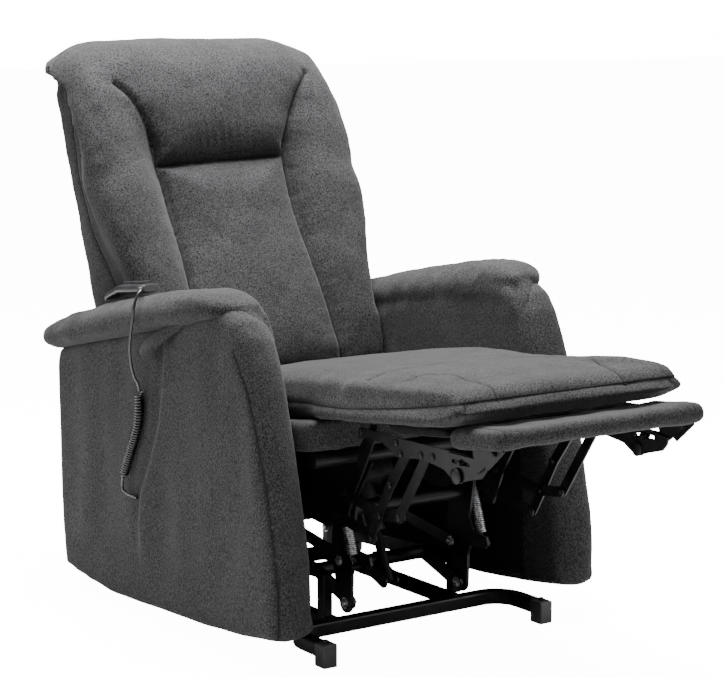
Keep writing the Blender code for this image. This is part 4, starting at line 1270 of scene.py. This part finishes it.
def make_pins(paints):
    """Rivets, bolts and spacers at every axis of the linkages."""
    rivets = {
        "upper_rails": [(UPPER_REAR, 0.1755, 0.1884, 0.0045)],
        "lower_rails": [(LOWER_REAR, 0.1755, 0.1884, 0.0045)],
        "inner_diagonals": [(UPPER_MIDDLE, 0.1835, 0.1955, 0.0045), (LOWER_FRONT, 0.1835, 0.1955, 0.0045),
                            (INNER_TOP, 0.1905, 0.2090, 0.0042), (ROLLER, 0.1850, 0.1955, 0.0040)],
        "outer_diagonals": [(UPPER_FRONT, 0.1835, 0.1955, 0.0045), (OUTER_TOP, 0.1905, 0.2090, 0.0042)],
        "legrest": [(HINGE, 0.1755, 0.2090, 0.0045)],
        "back": [(BACK_PIVOT, 0.1700, 0.1815, 0.0060)],
    }
    for body, rows in rivets.items():
        parts = [pin(side, *row) for side in SIDES.values() for row in rows]
        if body in ("upper_rails", "lower_rails"):
            for side in SIDES.values():
                spacer = [(0, 0), (0, 0.008), (0.0028, 0.008), (0.0028, 0)]
                parts.append(turned(spacer, spot(side * RAIL_SPACER_X, *rows[0][0]), (side, 0, 0), 20))
        hard_piece(f"rivets_{body}", parts, paints["steel"], body)
    bolts = {
        "lift_arms": [(ARM_TIP, 0.1265, 0.1435, 0.0048), (ARM_PIVOT, 0.1265, 0.1610, 0.0050)],
        "lift_links": [(LINK_TIP, 0.1265, 0.1435, 0.0045), (LINK_PIVOT, 0.1265, 0.1610, 0.0045)],
    }
    for body, rows in bolts.items():
        parts = [part for side in SIDES.values() for row in rows for part in bolt(side, *row)]
        hard_piece(f"bolts_{body}", parts, paints["zinc"], body)


SPRING_LOW = (0.072, 0.166)
SPRING_TOP = (0.130, 0.332)
SPRING_X = 0.1555
SPRING_R = 0.0092
SPRING_TURNS = 34
SPRING_HOOK = 0.022        # length of the hook at each end
WIRE_R = 0.0012
PEG_X = 0.1435


def make_springs(paints):
    """Return springs: close-wound coils with a hook at each end, on pegs."""
    for name, side in SIDES.items():
        low = spot(side * SPRING_X, *SPRING_LOW)
        top = spot(side * SPRING_X, *SPRING_TOP)
        ahead = (top - low) / np.linalg.norm(top - low)
        across = np.array((1.0, 0.0, 0.0))
        up = np.cross(ahead, across)
        length = np.linalg.norm(top - low) - 2 * SPRING_HOOK
        hooks = []
        for end, sign, first, sweep in ((low, 1, 1.5, -1.35), (top, -1, 0.15, 1.35)):
            turns = [math.pi * (first + sweep * step / 12) for step in range(13)]
            hooks.append([end + sign * ahead * 0.008 * (1 - math.cos(turn)) + up * 0.006 * math.sin(turn)
                          for turn in turns])
        steps = 12
        count = SPRING_TURNS * steps
        coil = []
        for i in range(count + 1):
            turn = 2 * math.pi * i / steps
            coil.append(low + ahead * (SPRING_HOOK + length * i / count)
                        + SPRING_R * (math.cos(turn) * up + math.sin(turn) * across))
        points = hooks[0] + coil + hooks[1]
        hard_piece(f"spring_coil_{name}", [tube(points, WIRE_R, 8)], paints["zinc"],
                   "chassis", (f"return_spring_{name}",), 60)
        peg = [(0, 0), (0, 0.0045), (0.020, 0.0045), (0.020, 0.0065), (0.023, 0.0065), (0.0235, 0)]
        places = [spot(side * PEG_X, *place) for place in (SPRING_LOW, SPRING_TOP)]
        pegs = [turned(peg, place, (side, 0, 0), 16) for place in places]
        hard_piece(f"spring_pegs_{name}", pegs, paints["steel"], "chassis")


BRACKET_X = 0.2045
BRACKET_LINE = [(-0.027, 0.458), (-0.022, 0.456), (-0.018, 0.449), (-0.022, 0.442), (-0.027, 0.440),
                (-0.094, 0.4405), (-0.135, 0.4260), (-0.153, 0.4195), (-0.170, 0.4225), (-0.200, 0.4285),
                (-0.240, 0.4290), (-0.284, 0.4235), (-0.306, 0.4117), (-0.327, 0.4066), (-0.3525, 0.4150),
                (-0.390, 0.4252), (-0.402, 0.4390), (-0.404, 0.4520), (-0.340, 0.460), (-0.160, 0.457)]
BOARD_ARM_LINE = [(-0.300, 0.438), (-0.385, 0.434), (-0.446, 0.478), (-0.440, 0.492), (-0.370, 0.480),
                  (-0.376, 0.458), (-0.300, 0.458)]
WING_LINE = [(-0.400, 0.458), (-0.436, 0.482), (-0.458, 0.493), (-0.462, 0.484), (-0.446, 0.470),
             (-0.418, 0.446)]


BRACKET_SLOT = ((-0.372, 0.4494), (-0.320, 0.4428))
BRACKET_RIVETS = ((-0.250, 0.440), (-0.140, 0.447))
BRACKET_STUD = (-0.323, 0.4190)
BOARD_ARM_SLOT = ((-0.360, 0.4451), (-0.316, 0.4451))
WING_SCREW = (-0.437, 0.478)
SLOT_SCREW = (-0.338, 0.4451)


def make_brackets(paints):
    """Slotted legrest brackets, with the footboard's slotted arms and wing screws outside them."""
    arms, screws = [], []
    for name, side in SIDES.items():
        holes = [slot_hole(*BRACKET_SLOT, 0.0052)]
        verts, faces = slotted(BRACKET_LINE, holes, BRACKET_X, BRACKET_X + 0.004)
        pins = [pin(side, place, BRACKET_X - 0.0010, BRACKET_X + 0.0048, 0.0040) for place in BRACKET_RIVETS]
        pins.append(pin(side, BRACKET_STUD, BRACKET_X - 0.0010, BRACKET_X + 0.0075, 0.0085))
        hard_piece(f"bracket_{name}", [(verts * (side, 1, 1), faces)] + pins, paints["steel"],
                   "legrest", (f"legrest_bracket_{name}",))
        low = BRACKET_X + 0.0046
        verts, faces = slotted(BOARD_ARM_LINE, [slot_hole(*BOARD_ARM_SLOT, 0.0036)], low, low + 0.004)
        arms.append((verts * (side, 1, 1), faces))
        arms.append(plate(WING_LINE, *sorted((side * (low + 0.0041), side * (low + 0.0071)))))
        screws += bolt(side, WING_SCREW, low, low + 0.0072, 0.0026)
        screws += bolt(side, SLOT_SCREW, BRACKET_X - 0.0004, low + 0.0042, 0.0032)
    hard_piece("footboard_arms", arms, paints["steel"], "footboard")
    hard_piece("footboard_screws", screws, paints["steel"], "footboard")


def make_base_details(paints):
    """Bolt heads on the feet."""
    head = [(0, 0), (0, 0.0075), (0.0016, 0.0075), (0.0016, 0.0055), (0.0052, 0.0055), (0.006, 0.004),
            (0.006, 0)]
    bolts = []
    for name in SIDES:
        for end in ("front", "rear"):
            low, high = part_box(f"foot_{end}_{name}")
            middle = (low + high) / 2
            bolts.append(turned(head, (middle.x, middle.y, high.z - 0.0002), (0, 0, 1), 6))
    hard_piece("foot_bolts", bolts, paints["steel"], "base")


def half_round(centre, radius):
    """Points round an end of the lug, as (depth, height); a negative radius gives the other end."""
    turns = [math.radians(a) for a in range(-60, 121, 20)]
    return [(centre[0] + radius * math.cos(a), centre[1] + radius * math.sin(a)) for a in turns]


def make_lugs(paints):
    """The two cheeks of the lug that joins the lift rod to the arms' cross tube."""
    outline = half_round(ARM_BEND, 0.017) + half_round(ROD_END, -0.013)
    lug = [plate(outline, x, x + 0.005) for x in (-0.0165, 0.0115)]
    hard_piece("lift_rod_lug", lug, paints["steel"], "lift_arms")


# ---- everything else -------------------------------------------------------------------------
def paint_cad_nodes(paints):
    paint_of = {"upholstery_fabric": "fabric", "powder_coated_steel": "steel", "zinc_plated_steel": "zinc",
                "black_plastic": "plastic", "grey_plastic": "grey", "cord_jacket": "cord"}
    slots = {part["node"]: part["material_slot"] for part in frame["record"]["subparts"]}
    for node, obj in NODES.items():
        material = paints[paint_of[slots[node]]]
        if node in ("lift_motor", "recline_motor"):
            material = paints["plastic"]
        if node == "lift_rod":
            material = paints["steel"]
        if not obj.data.materials:
            obj.data.materials.append(material)
        for i in range(len(obj.data.materials)):
            obj.data.materials[i] = material


# soft boxes: name, place, what they point at, size and power
LIGHTS = [
    ("overhead_box", (0.1, 0.4, 3.1), (0, 0.1, 0.5), (2.0, 2.0), 430),
    ("left_box", (-3.2, 1.6, 2.0), (0, 0.3, 0.6), (1.8, 2.0), 62),
    ("front_box", (-1.2, -3.2, 2.4), (0, -0.2, 0.6), (1.4, 1.2), 4),
    ("right_box", (2.4, -2.8, 1.2), (0, -0.2, 0.5), (1.0, 1.0), 34),
]


def area_light(name, place, target, size, power):
    data = bpy.data.lights.new(name, "AREA")
    data.shape = "RECTANGLE"
    data.size, data.size_y = size
    data.energy = power
    obj = bpy.data.objects.new(name, data)
    bpy.context.scene.collection.objects.link(obj)
    obj.location = place
    obj.rotation_euler = (Vector(target) - Vector(place)).to_track_quat("-Z", "Y").to_euler()


def make_studio():
    """White sweep: it shows as white to the camera, and lights the chair as a pale floor and soft sky."""
    corners = [(-40, -40, 0), (40, -40, 0), (40, 40, 0), (-40, 40, 0)]
    floor = mesh_object("studio_floor", corners, [(0, 1, 2, 3)], 0)
    paint = Paint("studio_floor_paint", Roughness=0.9, Specular_IOR_Level=0.1)
    paint.link(paint.mix(paint.noise(3.0), (0.78, 0.78, 0.78), (0.82, 0.82, 0.82)), "Base Color")
    seen = add(paint.tree, "ShaderNodeLightPath").outputs["Is Camera Ray"]
    paint.shader.inputs["Emission Color"].default_value = (1.0, 1.0, 1.0, 1.0)
    paint.link(paint.maths("MULTIPLY", seen, 14.0), "Emission Strength")
    floor.data.materials.append(paint.material)
    world = bpy.data.worlds.new("studio_world")
    bpy.context.scene.world = world
    world.use_nodes = True
    tree = world.node_tree
    soft = tree.nodes["Background"]
    soft.inputs["Color"].default_value = (1.0, 1.0, 1.0, 1.0)
    soft.inputs["Strength"].default_value = 0.17
    backdrop = add(tree, "ShaderNodeBackground", {"Color": (1.0, 1.0, 1.0, 1.0), "Strength": 16.0})
    seen = add(tree, "ShaderNodeLightPath").outputs["Is Camera Ray"]
    blend = add(tree, "ShaderNodeMixShader", {"Fac": seen, 1: soft.outputs[0], 2: backdrop.outputs[0]})
    tree.links.new(blend.outputs[0], tree.nodes["World Output"].inputs["Surface"])
    for light in LIGHTS:
        area_light(*light)


make_camera()
PAINTS = make_paints()
make_cord(PAINTS)
make_studio()
paint_cad_nodes(PAINTS)
make_back(PAINTS)
make_chaise(PAINTS)
make_seat_box(PAINTS)
make_legrest_board(PAINTS)
make_footboard(PAINTS)
make_arms(PAINTS)
make_flap(PAINTS)
make_rear_panel(PAINTS)
make_handset(PAINTS)
make_pins(PAINTS)
make_springs(PAINTS)
make_brackets(PAINTS)
make_base_details(PAINTS)
make_lugs(PAINTS)
